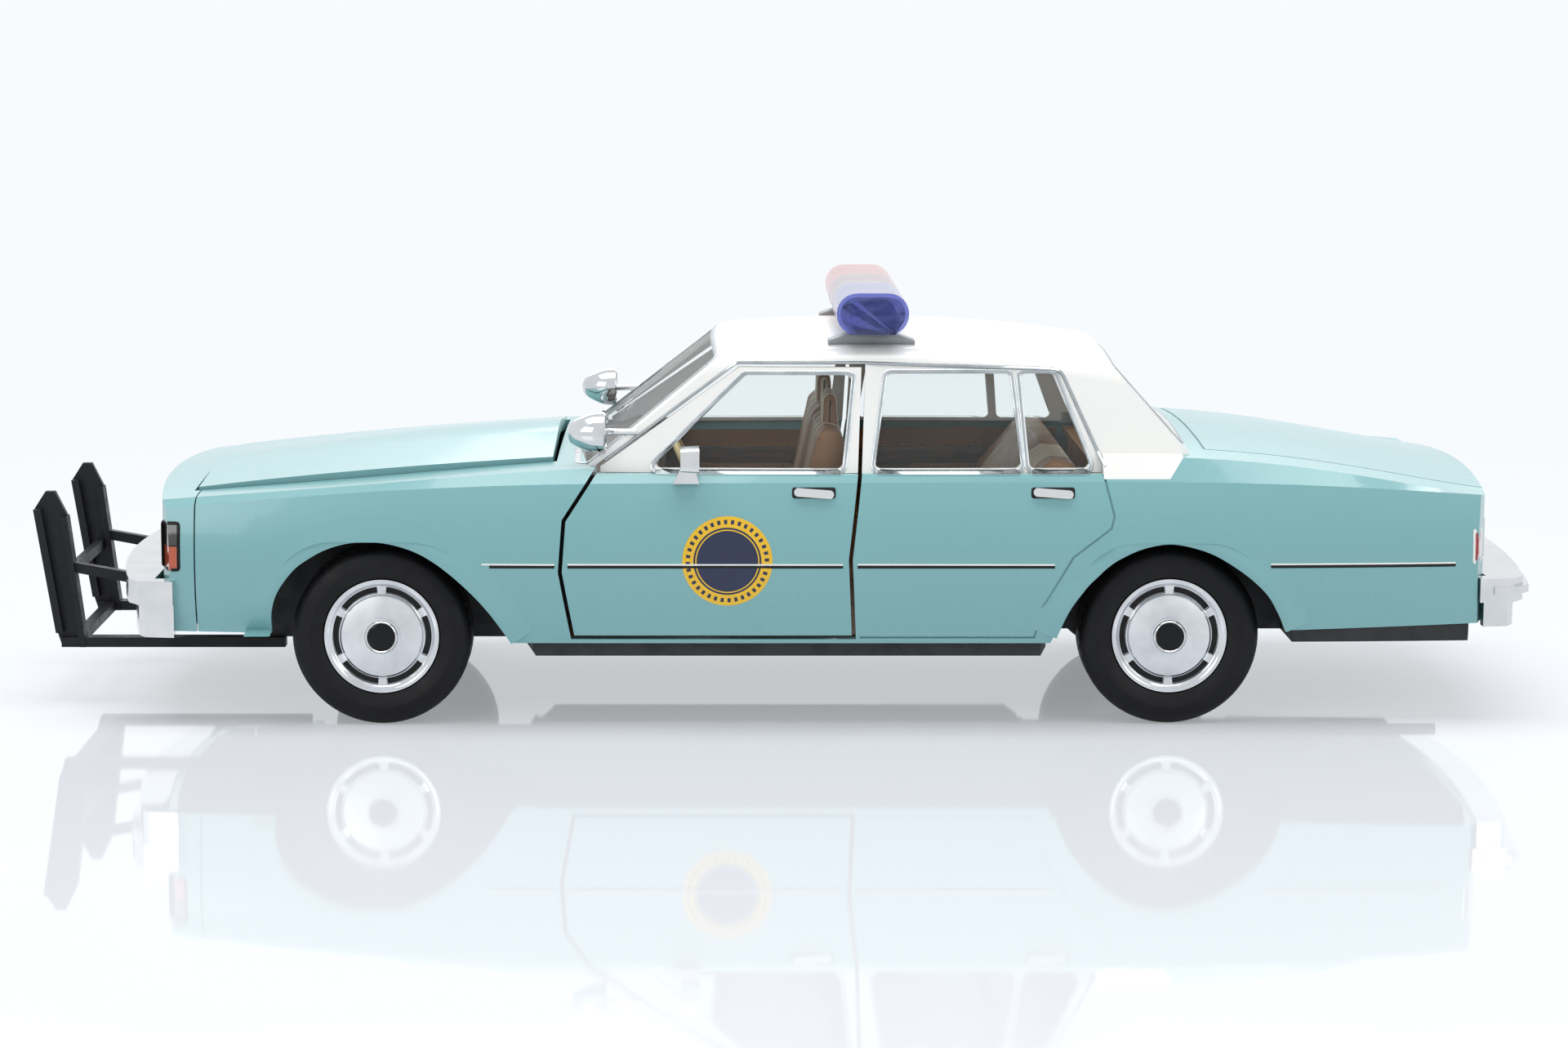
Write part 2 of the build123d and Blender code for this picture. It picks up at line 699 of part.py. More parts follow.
with BuildPart() as grille:
    with BuildSketch(Plane.YZ.offset(station(grille_back))):
        with Locations((0, (fascia_low_z + fascia_high_z) / 2)):
            Rectangle(2 * grille_half, fascia_high_z - fascia_low_z - 2 * slip)
            Rectangle(
                2 * (grille_half - grille_frame),
                fascia_high_z - fascia_low_z - 2 * slip - 2 * grille_frame,
                mode=Mode.SUBTRACT,
            )
    extrude(amount=2.6)
    with BuildSketch(Plane.YZ.offset(station(grille_back))):
        with Locations((0, (fascia_low_z + fascia_high_z) / 2)):
            with GridLocations(2 * grille_half / grille_columns, 0, grille_columns - 1, 1):
                Rectangle(grille_bar, fascia_high_z - fascia_low_z - 2 * grille_frame)
            with GridLocations(0, (fascia_high_z - fascia_low_z) / grille_rows, 1, grille_rows - 1):
                Rectangle(2 * (grille_half - grille_frame), grille_bar)
    extrude(amount=2.0)
save(grille.part, "grille")

# Headlamps: two square lamps in a bezel each side of the grille
bezel_inner = grille_half + slip
bezel_outer = fascia_half - slip
bezel_wall = 0.9
bezel_depth = 2.4
lamp_depth = 1.4

with BuildPart() as headlamp_bezels:
    for sign in (-1, 1):
        with BuildSketch(Plane.YZ.offset(station(grille_back))):
            with Locations((sign * (bezel_inner + bezel_outer) / 2, (fascia_low_z + fascia_high_z) / 2)):
                Rectangle(bezel_outer - bezel_inner, fascia_high_z - fascia_low_z - 2 * slip)
                with GridLocations((bezel_outer - bezel_inner - bezel_wall) / 2, 0, 2, 1):
                    Rectangle(
                        (bezel_outer - bezel_inner - 3 * bezel_wall) / 2,
                        fascia_high_z - fascia_low_z - 2 * slip - 2 * bezel_wall,
                        mode=Mode.SUBTRACT,
                    )
        extrude(amount=bezel_depth)
    add(body_outer, mode=Mode.INTERSECT)
save(headlamp_bezels.part, "headlamp_bezels")

with BuildPart() as headlamps:
    for sign in (-1, 1):
        with BuildSketch(Plane.YZ.offset(station(grille_back))):
            with Locations((sign * (bezel_inner + bezel_outer) / 2, (fascia_low_z + fascia_high_z) / 2)):
                with GridLocations((bezel_outer - bezel_inner - bezel_wall) / 2, 0, 2, 1):
                    Rectangle(
                        (bezel_outer - bezel_inner - 3 * bezel_wall) / 2 - 2 * slip,
                        fascia_high_z - fascia_low_z - 4 * slip - 2 * bezel_wall,
                    )
        extrude(amount=lamp_depth)
    add(body_volume(0.3, 0), mode=Mode.INTERSECT)
save(headlamps.part, "headlamps")

# Tail lamps: three lenses each side, flush with the tail
with BuildPart() as tail_lamps:
    for sign in (-1, 1):
        low_y, high_y = sorted((sign * (lamp_inner_y + slip), sign * (lamp_outer_y - slip)))
        add(
            (body_outer - body_inner)
            & block(222, 240, low_y, high_y, lamp_low_z + slip, lamp_high_z - slip)
        )
save(tail_lamps.part, "tail_lamps")

# Bumpers: bars bowed in plan that wrap round the corners, with a set-back lower valance
bumper_setback = 2.0


def bumper_bar(face, corner, side_end, side_y, setback, low_z, high_z):
    """Bar whose face bows from its middle to the corners and returns along the sides."""
    out = -1 if face < 0 else 1
    with BuildPart() as bar:
        with BuildSketch(Plane.XY.offset(low_z)):
            tip = (station(face - out * setback), 0)
            left = (station(corner - out * setback), side_y - 4.5)
            turn = (station(corner - out * (2.6 + setback / 2)), side_y - 0.9 - setback / 2)
            end = (station(side_end), side_y - setback / 2)
            with BuildLine():
                ThreePointArc((left[0], -left[1]), tip, left)
                Polyline(left, turn, end, (end[0], -end[1]), (turn[0], -turn[1]), (left[0], -left[1]))
            make_face()
        extrude(amount=high_z - low_z)
    return bar.part


with BuildPart() as front_bumper:
    add(bumper_bar(-front_overhang, -52.6, -42.9, 50.4, 0, 25.5, 30.5))
    add(bumper_bar(-front_overhang, -52.6, -42.9, 50.4, bumper_setback, 18.6, 25.5))
    add(body_outer, mode=Mode.SUBTRACT)
    add(block(-47.2, 0, -46, 46, 0, 40), mode=Mode.SUBTRACT)
save(front_bumper.part, "front_bumper")

rear_face = wheelbase + rear_overhang
with BuildPart() as rear_bumper:
    add(bumper_bar(rear_face - 1.2, 237.2, 227.5, 50.2, 0, 26.1, 31.1))
    add(bumper_bar(rear_face, 238.4, 230.5, 50.4, 0, 27.8, 29.4))
    add(bumper_bar(rear_face - 1.2, 237.2, 228.5, 50.2, bumper_setback, 20.9, 26.1))
    add(body_outer, mode=Mode.SUBTRACT)
    add(block(200, 229.4, -46, 46, 0, 40), mode=Mode.SUBTRACT)
save(rear_bumper.part, "rear_bumper")

# Push bumper: two upright ribs with padded faces, a crossbar and braces, carried by bars under the car
push_front = front_overhang + push_reach
bumper_reach = 6.0
push_y = 23.5
push_pad_width = 5.5
push_web = 1.6
push_bar_low = 12.3
rib_outline = [
    (-push_front, 42.1),
    (-73.4, 45.8),
    (-71.4, 45.8),
    (-68.8, 40.5),
    (-65.3, push_bar_low),
    (-70.6, push_bar_low),
    (-71.6, 15.5),
]
pad_outline = [(-push_front, 42.1), (-71.6, 15.5), (-70.0, 15.5), (-74.2, 42.1)]
flange_outline = [(-70.2, 40.5), (-68.8, 40.5), (-65.3, push_bar_low), (-66.7, push_bar_low)]
brace_outline = [(-68.2, 30.6), (-55.4, 28.3), (-55.4, 26.1), (-67.8, 28.4)]

with BuildPart() as push_bumper:
    for sign in (-1, 1):
        middle = sign * push_y
        for outline, width in (
            (rib_outline, push_web),
            (pad_outline, push_pad_width),
            (flange_outline, 4.0),
            (brace_outline, 2.2),
        ):
            add(side_prism(outline, middle - width / 2, middle + width / 2))
        add(block(-70.6, -22.7, middle - 1.8, middle + 1.8, push_bar_low, chassis_z))
    add(block(-70.4, -68.8, -push_y, push_y, 26.5, 28.7))
    add(block(-69.0, -66.6, -push_y, push_y, push_bar_low, chassis_z))
    add(body_volume(-bumper_reach, 0) & block(-60, 0, -30, 30, 20, 40), mode=Mode.SUBTRACT)
    add(front_bumper.part, mode=Mode.SUBTRACT)
save(push_bumper.part, "push_bumper")

# Chassis: a floor pan between the wheels, with an axle tunnel and two screw posts for a display plinth
pan_front_outline = [(-30.0, 24.0), (28.0, 24.0), (32.0, 47.0), (137.0, 47.0), (140.0, 31.0)]
pan_rear_outline = [(134.0, 31.0), (189.5, 31.0), (190.0, 60.0), (226.0, 60.0)]
pan_rear_low = 17.5
pan_rear_high = 22.4
post_radius = 3.2
post_height = 7.0
screw_radius = 1.3
screw_depth = 6.0
post_places = (20.0, 208.0)
housing_radius = 2.6
differential_radius = 6.0
axle_z = tyre_radius
groove_top = axle_z + housing_radius + 0.2
house_wall = 0.9
house_inner = 31.0
house_top = 40.4
house_front = 139.0
house_rear = 190.0


def both_sides(points):
    """Outline in plan made from its left half, front to rear."""
    return points + [(behind, -y) for behind, y in reversed(points)]


with BuildPart() as chassis:
    add(plan_prism(both_sides(pan_front_outline), chassis_z, floor_z))
    add(plan_prism(both_sides(pan_rear_outline), pan_rear_low, pan_rear_high))
    for sign in (-1, 1):
        low_y, high_y = sorted((sign * house_inner, sign * side_reach))
        add(block(house_front, house_rear, low_y, high_y, pan_rear_low, house_top + house_wall))
        low_y, high_y = sorted((sign * (house_inner + house_wall), sign * side_reach))
        add(
            block(house_front, house_rear - house_wall, low_y, high_y, 0, house_top),
            mode=Mode.SUBTRACT,
        )
    outside_body = block(120, 240, -side_reach, side_reach, 0, 60) - body_volume(body_wall + slip, 0)
    add(outside_body, mode=Mode.SUBTRACT)
    with BuildSketch(Plane.XY.offset(chassis_z)):
        with Locations(*[(station(s), 0) for s in post_places]):
            Circle(post_radius)
    extrude(amount=floor_z + post_height - chassis_z)
    with BuildSketch(Plane.XY.offset(chassis_z)):
        with Locations(*[(station(s), 0) for s in post_places]):
            Circle(screw_radius)
    extrude(amount=screw_depth, mode=Mode.SUBTRACT)
    groove_half = housing_radius + 0.3
    add(block(wheelbase - groove_half, wheelbase + groove_half, -40, 40, 0, groove_top), mode=Mode.SUBTRACT)
    pocket_half = differential_radius + 0.4
    add(
        block(wheelbase - pocket_half, wheelbase + pocket_half, -pocket_half, pocket_half, 0, 30),
        mode=Mode.SUBTRACT,
    )
save(chassis.part, "chassis")

# Exhaust: a straight pipe under the floor pan, a silencer behind the axle and a tail pipe
pipe_y = -16.0
pipe_radius = 1.3
pipe_start = 60.0
silencer_start = 176.0
silencer_end = 204.0
tail_end = 233.0

with BuildPart() as exhaust:
    with BuildSketch(Plane.YZ.offset(station(silencer_end))):
        with Locations((pipe_y, chassis_z - pipe_radius)):
            Circle(pipe_radius)
    extrude(amount=silencer_end - pipe_start)
    with BuildSketch(Plane.YZ.offset(station(silencer_end))):
        with Locations((pipe_y - 2.0, (chassis_z - 2 * pipe_radius + pan_rear_low) / 2 + 0.4)):
            RectangleRounded(11.0, pan_rear_low - chassis_z + 2 * pipe_radius - 0.8, 2.2)
    extrude(amount=silencer_end - silencer_start)
    with BuildSketch(Plane.YZ.offset(station(tail_end))):
        with Locations((pipe_y - 5.0, chassis_z + 0.6)):
            Circle(pipe_radius)
            Circle(pipe_radius - 0.4, mode=Mode.SUBTRACT)
    extrude(amount=tail_end - silencer_end + 1.0)
save(exhaust.part, "exhaust")

# Front axle: a beam on the floor pan with a yoke at each end for its knuckle
beam_half = 5.0
beam_top = 22.4
yoke_y = 29.0
yoke_wall = 1.4
yoke_low = 12.9
yoke_high = 24.4
arm_half = 2.6
arm_reach = 2.6

with BuildPart() as front_axle:
    add(block(-beam_half, beam_half, -yoke_y, yoke_y, floor_z, beam_top))
    for sign in (-1, 1):
        low_y, high_y = sorted((sign * yoke_y, sign * (yoke_y + yoke_wall)))
        add(block(-beam_half, beam_half, low_y, high_y, yoke_low, yoke_high))
        low_y, high_y = sorted((sign * yoke_y, sign * (kingpin_y + arm_reach)))
        add(block(-arm_half, arm_half, low_y, high_y, yoke_low, yoke_low + yoke_wall))
        add(block(-arm_half, arm_half, low_y, high_y, yoke_high - yoke_wall, yoke_high))
    with BuildSketch(Plane.XY.offset(yoke_low)):
        with Locations((station(0), -kingpin_y), (station(0), kingpin_y)):
            Circle(kingpin_radius + running_clearance)
    extrude(amount=yoke_high - yoke_low, mode=Mode.SUBTRACT)
save(front_axle.part, "front_axle")

# Knuckle: an upright with a kingpin in the yoke and a stub axle for the wheel
knuckle_radius = 2.5
knuckle_gap = 0.15
stub_reach = 46.0
head_radius = 2.2
head_length = 1.0
hub_shoulder = 38.6

with BuildPart() as knuckle:
    with BuildSketch(Plane.XY.offset(yoke_low + yoke_wall + knuckle_gap)):
        with Locations((station(0), kingpin_y)):
            Circle(knuckle_radius)
    extrude(amount=yoke_high - yoke_low - 2 * yoke_wall - 2 * knuckle_gap)
    with BuildSketch(Plane.XY.offset(yoke_low)):
        with Locations((station(0), kingpin_y)):
            Circle(kingpin_radius)
    extrude(amount=yoke_high - yoke_low)
    with BuildSketch(Plane.XZ.offset(-kingpin_y)):
        with Locations((station(0), axle_z)):
            Circle(stub_radius)
    extrude(amount=-(stub_reach - kingpin_y))
    with BuildSketch(Plane.XZ.offset(-stub_reach)):
        with Locations((station(0), axle_z)):
            Circle(head_radius)
    extrude(amount=-head_length)
save(knuckle.part, "knuckle_left")
save(mirrored(knuckle.part), "knuckle_right")

# Rear axle: a tube with a differential and a stub at each end
with BuildPart() as rear_axle:
    with BuildSketch(Plane.XZ):
        with Locations((station(wheelbase), axle_z)):
            Circle(housing_radius)
    extrude(amount=33.6, both=True)
    with BuildSketch(Plane.XZ):
        with Locations((station(wheelbase), axle_z)):
            Circle(stub_radius)
    extrude(amount=stub_reach - front_track_half + rear_track_half, both=True)
    with BuildSketch(Plane.XZ):
        with Locations((station(wheelbase), axle_z)):
            Circle(differential_radius)
    extrude(amount=differential_radius * 0.6, both=True)
    for sign in (-1, 1):
        with BuildSketch(Plane.XZ.offset(-sign * (stub_reach - front_track_half + rear_track_half))):
            with Locations((station(wheelbase), axle_z)):
                Circle(head_radius)
        extrude(amount=-sign * head_length)
save(rear_axle.part, "rear_axle")

# Wheels: a tyre on a rim whose bright cover has curved slots round a domed disc and a boss
slot_inner = 8.7
slot_outer = 10.2
slot_angle = 44
slot_depth = 1.2
boss_radius = 3.8
hub_radius = 4.0
barrel_wall = 1.0
cover_y = 4.4

with BuildPart() as tyre:
    with BuildSketch(Plane.XY):
        with BuildLine():
            half = tyre_width / 2
            Polyline(
                (rim_radius, -half + 1.0),
                (rim_radius, half - 1.0),
                (rim_radius + 1.6, half - 0.2),
            )
            ThreePointArc((rim_radius + 1.6, half - 0.2), (15.6, half), (17.6, half - 0.8))
            ThreePointArc((17.6, half - 0.8), (tyre_radius - 0.25, half - 1.5), (tyre_radius, half - 2.6))
            Line((tyre_radius, half - 2.6), (tyre_radius, 2.6 - half))
            ThreePointArc((tyre_radius, 2.6 - half), (tyre_radius - 0.25, 1.5 - half), (17.6, 0.8 - half))
            ThreePointArc((17.6, 0.8 - half), (15.6, -half), (rim_radius + 1.6, 0.2 - half))
            Line((rim_radius + 1.6, 0.2 - half), (rim_radius, -half + 1.0))
        make_face()
    revolve(axis=Axis.Y)

with BuildPart() as rim:
    with BuildSketch(Plane.XY):
        with BuildLine():
            Polyline(
                (rim_radius - barrel_wall, 1.0 - half),
                (rim_radius, 1.0 - half),
                (rim_radius, cover_y),
                (cover_radius, cover_y + 0.9),
                (cover_radius - 0.9, cover_y + 0.9),
                (slot_outer + 0.2, cover_y),
                (cover_disc_radius + 0.3, cover_y),
                (cover_disc_radius, cover_y + 0.6),
            )
            ThreePointArc(
                (cover_disc_radius, cover_y + 0.6), (6.0, cover_y + 1.1), (boss_radius, cover_y + 1.3)
            )
            Polyline(
                (boss_radius, cover_y + 1.3),
                (boss_radius - 0.3, cover_y + 2.0),
                (0, cover_y + 2.0),
                (0, cover_y + 0.2),
                (head_radius + 0.4, cover_y + 0.2),
                (head_radius + 0.4, stub_reach - front_track_half - 0.3),
                (stub_radius + running_clearance, stub_reach - front_track_half - 0.3),
                (stub_radius + running_clearance, hub_shoulder - front_track_half),
                (hub_radius, hub_shoulder - front_track_half),
                (hub_radius, cover_y - 1.2),
                (rim_radius - barrel_wall, cover_y - 1.2),
                (rim_radius - barrel_wall, 1.0 - half),
            )
        make_face()
    revolve(axis=Axis.Y)
    with BuildSketch(Plane.XZ.offset(-cover_y - 1.0)):
        with PolarLocations(0, cover_slots, 360 / cover_slots / 2):
            with BuildLine():
                Polyline((0, 0), (20, 20 * 0.4), (20, -20 * 0.4), close=True)
            make_face()
        Circle(slot_outer, mode=Mode.INTERSECT)
        Circle(slot_inner, mode=Mode.SUBTRACT)
    extrude(amount=slot_depth + 1.0, mode=Mode.SUBTRACT)

for name, behind, side, track_half in (
    ("front_left", 0.0, 1, front_track_half),
    ("front_right", 0.0, -1, front_track_half),
    ("rear_left", wheelbase, 1, rear_track_half),
    ("rear_right", wheelbase, -1, rear_track_half),
):
    place = Location((station(behind), side * track_half, axle_z), (0, 0, 1), 0 if side > 0 else 180)
    save(tyre.part.moved(place), f"tyre_{name}")
    save(rim.part.moved(place), f"rim_{name}")

# Engine bay: a floor, two inner wings with shelves over the wheels, a firewall and the radiator's support
bay_wall = 1.0
bay_half = 26.5
bay_front = -44.9
bay_rear = 38.4
shelf_z = 43.5
support_wall = 1.2
radiator_back = -41.0
inside_wings = body_volume(body_wall + slip, 0)
beam_notch = block(-beam_half - slip, beam_half + slip, -40, 40, 0, beam_top + slip)

with BuildPart() as firewall:
    add(block(bay_rear - support_wall, bay_rear, -45.5, 45.5, floor_z, belt_z - 1.0))
    add(inside_wings, mode=Mode.INTERSECT)
save(firewall.part, "firewall")

with BuildPart() as radiator_support:
    add(block(bay_front, bay_front + support_wall, -42.9, 42.9, 19.6, 44.7))
    add(block(bay_front + support_wall, radiator_back, -20.0, 20.0, 22.0, 42.0))
    add(inside_wings, mode=Mode.INTERSECT)
save(radiator_support.part, "radiator_support")

with BuildPart() as inner_wings:
    for sign in (-1, 1):
        low_y, high_y = sorted((sign * (bay_half - bay_wall), sign * bay_half))
        add(
            block(
                bay_front + support_wall, bay_rear - support_wall,
                low_y, high_y, floor_z + bay_wall, shelf_z + bay_wall,
            )
        )
        low_y, high_y = sorted((sign * (bay_half - bay_wall), sign * side_reach))
        add(block(header_seam + 1.0, bay_rear - support_wall, low_y, high_y, shelf_z, shelf_z + bay_wall))
    add(inside_wings, mode=Mode.INTERSECT)
    add(beam_notch, mode=Mode.SUBTRACT)
save(inner_wings.part, "inner_wings")

with BuildPart() as engine_bay:
    add(block(bay_front, bay_rear - support_wall, -bay_half, bay_half, floor_z, floor_z + bay_wall))
    add(inside_wings, mode=Mode.INTERSECT)
    add(beam_notch, mode=Mode.SUBTRACT)
    with BuildSketch(Plane.XY.offset(floor_z)):
        with Locations((station(post_places[0]), 0)):
            Circle(post_radius + slip)
    extrude(amount=post_height, mode=Mode.SUBTRACT)
save(engine_bay.part, "engine_bay")

# Engine: a plain block with its two heads and a round air cleaner
block_front = -20.0
block_rear = 15.0
cleaner_s = -3.0
cleaner_radius = 9.0

with BuildPart() as engine:
    add(block(block_front, block_rear, -9.0, 9.0, floor_z + bay_wall, 34.0))
    add(block(block_front + 5.5, block_rear - 3.0, -4.5, 4.5, 34.0, 40.0))
    for sign in (-1, 1):
        with BuildSketch(Plane.YZ.offset(station(block_rear - 1.0))):
            with Locations(Location((sign * 9.6, 32.0, 0), (0, 0, 1), -sign * 38)):
                RectangleRounded(9.0, 9.0, 1.4)
        extrude(amount=block_rear - block_front - 2.0)
    with BuildSketch(Plane.XY.offset(40.0)):
        with Locations((station(cleaner_s), 0)):
            Circle(cleaner_radius)
    extrude(amount=4.0)
    with BuildSketch(Plane.XY.offset(44.0)):
        with Locations((station(cleaner_s), 0)):
            Circle(1.2)
    extrude(amount=1.0)
    add(beam_notch, mode=Mode.SUBTRACT)
save(engine.part, "engine")

# Cabin floor: a tub with the rear door linings, the rear bulkhead and the parcel shelf
tub_wall = 1.2
tub_front = 38.6
tub_step = 133.0
shelf_low = 50.6
bulkhead_s = 149.5
shelf_end = 168.0
rear_card_outline = [(100.6, 51.0), (100.6, 18.5), (137.0, 18.5), (138.4, 41.6), (148.6, 41.6), (148.6, 51.0)]

with BuildPart() as floor_tub:
    add(block(tub_front, tub_step, -floor_half + slip, floor_half - slip, floor_z, floor_z + tub_wall))
    add(block(tub_step - tub_wall, tub_step, -house_inner, house_inner, floor_z, pan_rear_high + tub_wall))
    add(
        block(
            tub_step - tub_wall, bulkhead_s, -house_inner + slip, house_inner - slip,
            pan_rear_high, pan_rear_high + tub_wall,
        )
    )
    add(block(bulkhead_s, bulkhead_s + tub_wall, -house_inner + slip, house_inner - slip, pan_rear_high, shelf_low))
    add(block(bulkhead_s, shelf_end, -44.0, 44.0, shelf_low, shelf_low + tub_wall))
    for side in (0, 1):
        lining = (door_inner - card_inner) & side_prism(rear_card_outline, side_root, side_reach)
        add(mirrored(lining) if side else lining)
save(floor_tub.part, "floor_tub")

# Seats: a split bench in front with head rests, and a full-width bench behind
front_cushion = [(70.5, 24.0), (70.0, 31.5), (73.0, 34.0), (87.0, 32.0), (93.0, 24.0)]
front_back = [(84.5, 31.0), (90.6, 59.5), (92.4, 61.2), (95.4, 60.4), (96.6, 57.0), (93.0, 30.0), (90.0, 26.0)]
rear_cushion = [(112.0, 24.6), (111.4, 33.6), (114.4, 36.0), (130.0, 34.4), (133.0, 24.6)]
rear_back = [(127.6, 33.0), (137.4, 53.0), (139.6, 54.4), (144.0, 54.0), (146.0, 50.0), (146.0, 33.0), (132.0, 24.6)]
seat_inner = 2.0
seat_outer = 39.0
bench_half = 41.5
rest_half = 6.5
seat_corner = 1.4

with BuildPart() as front_seats:
    for sign in (-1, 1):
        low_y, high_y = sorted((sign * seat_inner, sign * seat_outer))
        add(side_prism(front_cushion, low_y, high_y, seat_corner))
        add(side_prism(front_back, low_y, high_y, seat_corner))
        add(block(73, 89, low_y + 5, high_y - 5, floor_z + tub_wall, 25.0))
        middle = (low_y + high_y) / 2
        add(block(92.0, 95.4, middle - rest_half, middle + rest_half, 59.0, 67.0))
save(front_seats.part, "front_seats")

with BuildPart() as rear_seat:
    add(side_prism(rear_cushion, -bench_half, bench_half, seat_corner))
    add(side_prism(rear_back, -bench_half, bench_half, seat_corner))
    add(block(115, tub_step - tub_wall - slip, -30, 30, floor_z + tub_wall, 25.0))
    for sign in (-1, 1):
        low_y, high_y = sorted((sign * (house_inner - seat_clearance), sign * side_reach))
        over_house = house_top + house_wall + seat_clearance
        add(block(house_front - 1.0, 160, low_y, high_y, 0, over_house), mode=Mode.SUBTRACT)
    add(block(tub_step - tub_wall - slip, 160, -house_inner, house_inner, 0, pan_rear_high + tub_wall), mode=Mode.SUBTRACT)
save(rear_seat.part, "rear_seat")

# Dashboard with its pad, and the steering wheel on its column
dash_outline = [
    (bay_rear + 0.3, 44.0),
    (bay_rear + 0.3, 50.4),
    (46.0, 52.2),
    (52.0, 54.4),
    (57.4, 53.2),
    (58.4, 49.0),
    (55.0, 41.0),
    (51.0, 38.0),
    (48.0, 38.0),
]
dash_half = 43.0
wheel_s = 63.9
wheel_y = 18.5
wheel_z = 49.4
wheel_ring = 9.6
wheel_tube = 0.7
wheel_tilt = 25
column_radius = 1.5
column_length = 9.0

with BuildPart() as dashboard:
    add(side_prism(dash_outline, -dash_half, dash_half))
save(dashboard.part, "dashboard")

with BuildPart() as steering_wheel:
    column_direction = Vector(1, 0, 0).rotate(Axis.Y, wheel_tilt)
    hub = Plane((station(wheel_s), wheel_y, wheel_z), x_dir=(0, 1, 0), z_dir=column_direction)
    with BuildSketch(Plane(hub.origin, x_dir=hub.x_dir, z_dir=hub.y_dir)):
        with Locations((wheel_ring, 0)):
            Circle(wheel_tube)
    revolve(axis=Axis(hub.origin, hub.z_dir))
    with BuildSketch(hub.offset(-0.4)):
        Circle(2.4)
        with PolarLocations(0, 4, 30, 300):
            with Locations((wheel_ring / 2, 0)):
                Rectangle(wheel_ring, 1.4)
    extrude(amount=0.9)
    with BuildSketch(hub):
        Circle(column_radius)
    extrude(amount=column_length)
    add(dashboard.part, mode=Mode.SUBTRACT)
save(steering_wheel.part, "steering_wheel")
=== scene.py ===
"""Visual model of a 1:18 four-door police saloon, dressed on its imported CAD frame."""

import logging
import math
from collections.abc import Sequence
from dataclasses import dataclass, field
from enum import Enum

import bpy
from bpy.types import Material, Node, NodeTree, Object
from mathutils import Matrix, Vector
from mathutils.bvhtree import BVHTree


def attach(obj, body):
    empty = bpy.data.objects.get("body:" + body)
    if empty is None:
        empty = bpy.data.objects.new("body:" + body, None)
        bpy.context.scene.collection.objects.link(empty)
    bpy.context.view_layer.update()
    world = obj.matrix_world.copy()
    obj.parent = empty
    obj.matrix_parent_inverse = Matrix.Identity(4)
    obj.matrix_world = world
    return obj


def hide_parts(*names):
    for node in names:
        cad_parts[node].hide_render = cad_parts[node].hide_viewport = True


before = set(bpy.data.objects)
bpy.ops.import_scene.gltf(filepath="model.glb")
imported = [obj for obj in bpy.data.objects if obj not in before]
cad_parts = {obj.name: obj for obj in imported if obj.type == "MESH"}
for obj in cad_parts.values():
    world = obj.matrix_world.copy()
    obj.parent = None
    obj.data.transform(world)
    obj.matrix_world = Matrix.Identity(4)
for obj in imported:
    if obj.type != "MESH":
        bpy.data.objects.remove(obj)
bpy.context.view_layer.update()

LOG = logging.getLogger("patrol_car")
MM = 0.001
# in millimetres: the front axle's place on X, the distance between the axles, and their height
FRONT_AXLE_X = 82.95
WHEELBASE = 163.7
AXLE_Z = 18.65
SIDES = ((1, "left"), (-1, "right"))

Point = tuple[float, float]
Path = list[Point]
Settings = dict[str, object]


def at(behind: float, y: float, z: float) -> Vector:
    """Place of a point given behind the front axle, across and up.

    Args:
        behind: Distance behind the front axle in millimetres.
        y: Distance to the car's left in millimetres.
        z: Height in millimetres.

    Returns:
        The point in metres.
    """
    return Vector((FRONT_AXLE_X - behind, y, z)) * MM


def linear(colour: str) -> tuple[float, float, float, float]:
    """Turn an sRGB hex colour to linear.

    Args:
        colour: Colour as "#RRGGBB".

    Returns:
        Linear red, green and blue, and an alpha of 1.
    """
    parts = [int(colour[i : i + 2], 16) / 255 for i in (1, 3, 5)]
    red, green, blue = (p / 12.92 if p <= 0.04045 else ((p + 0.055) / 1.055) ** 2.4 for p in parts)
    return red, green, blue, 1.0


def add_node(
    tree: NodeTree,
    kind: str,
    values: Settings | None = None,
    links: Settings | None = None,
    **attributes: object,
) -> Node:
    """Add a node with its settings and links.

    Args:
        tree: Node tree that gets the node.
        kind: Node type.
        values: Values of input sockets, by name or number.
        links: Output sockets that feed input sockets, by name or number.
        **attributes: Properties of the node itself.

    Returns:
        The node.
    """
    node = tree.nodes.new(kind)
    for key, value in attributes.items():
        setattr(node, key, value)
    for key, value in (values or {}).items():
        node.inputs[key].default_value = value
    for key, socket in (links or {}).items():
        tree.links.new(socket, node.inputs[key])
    return node


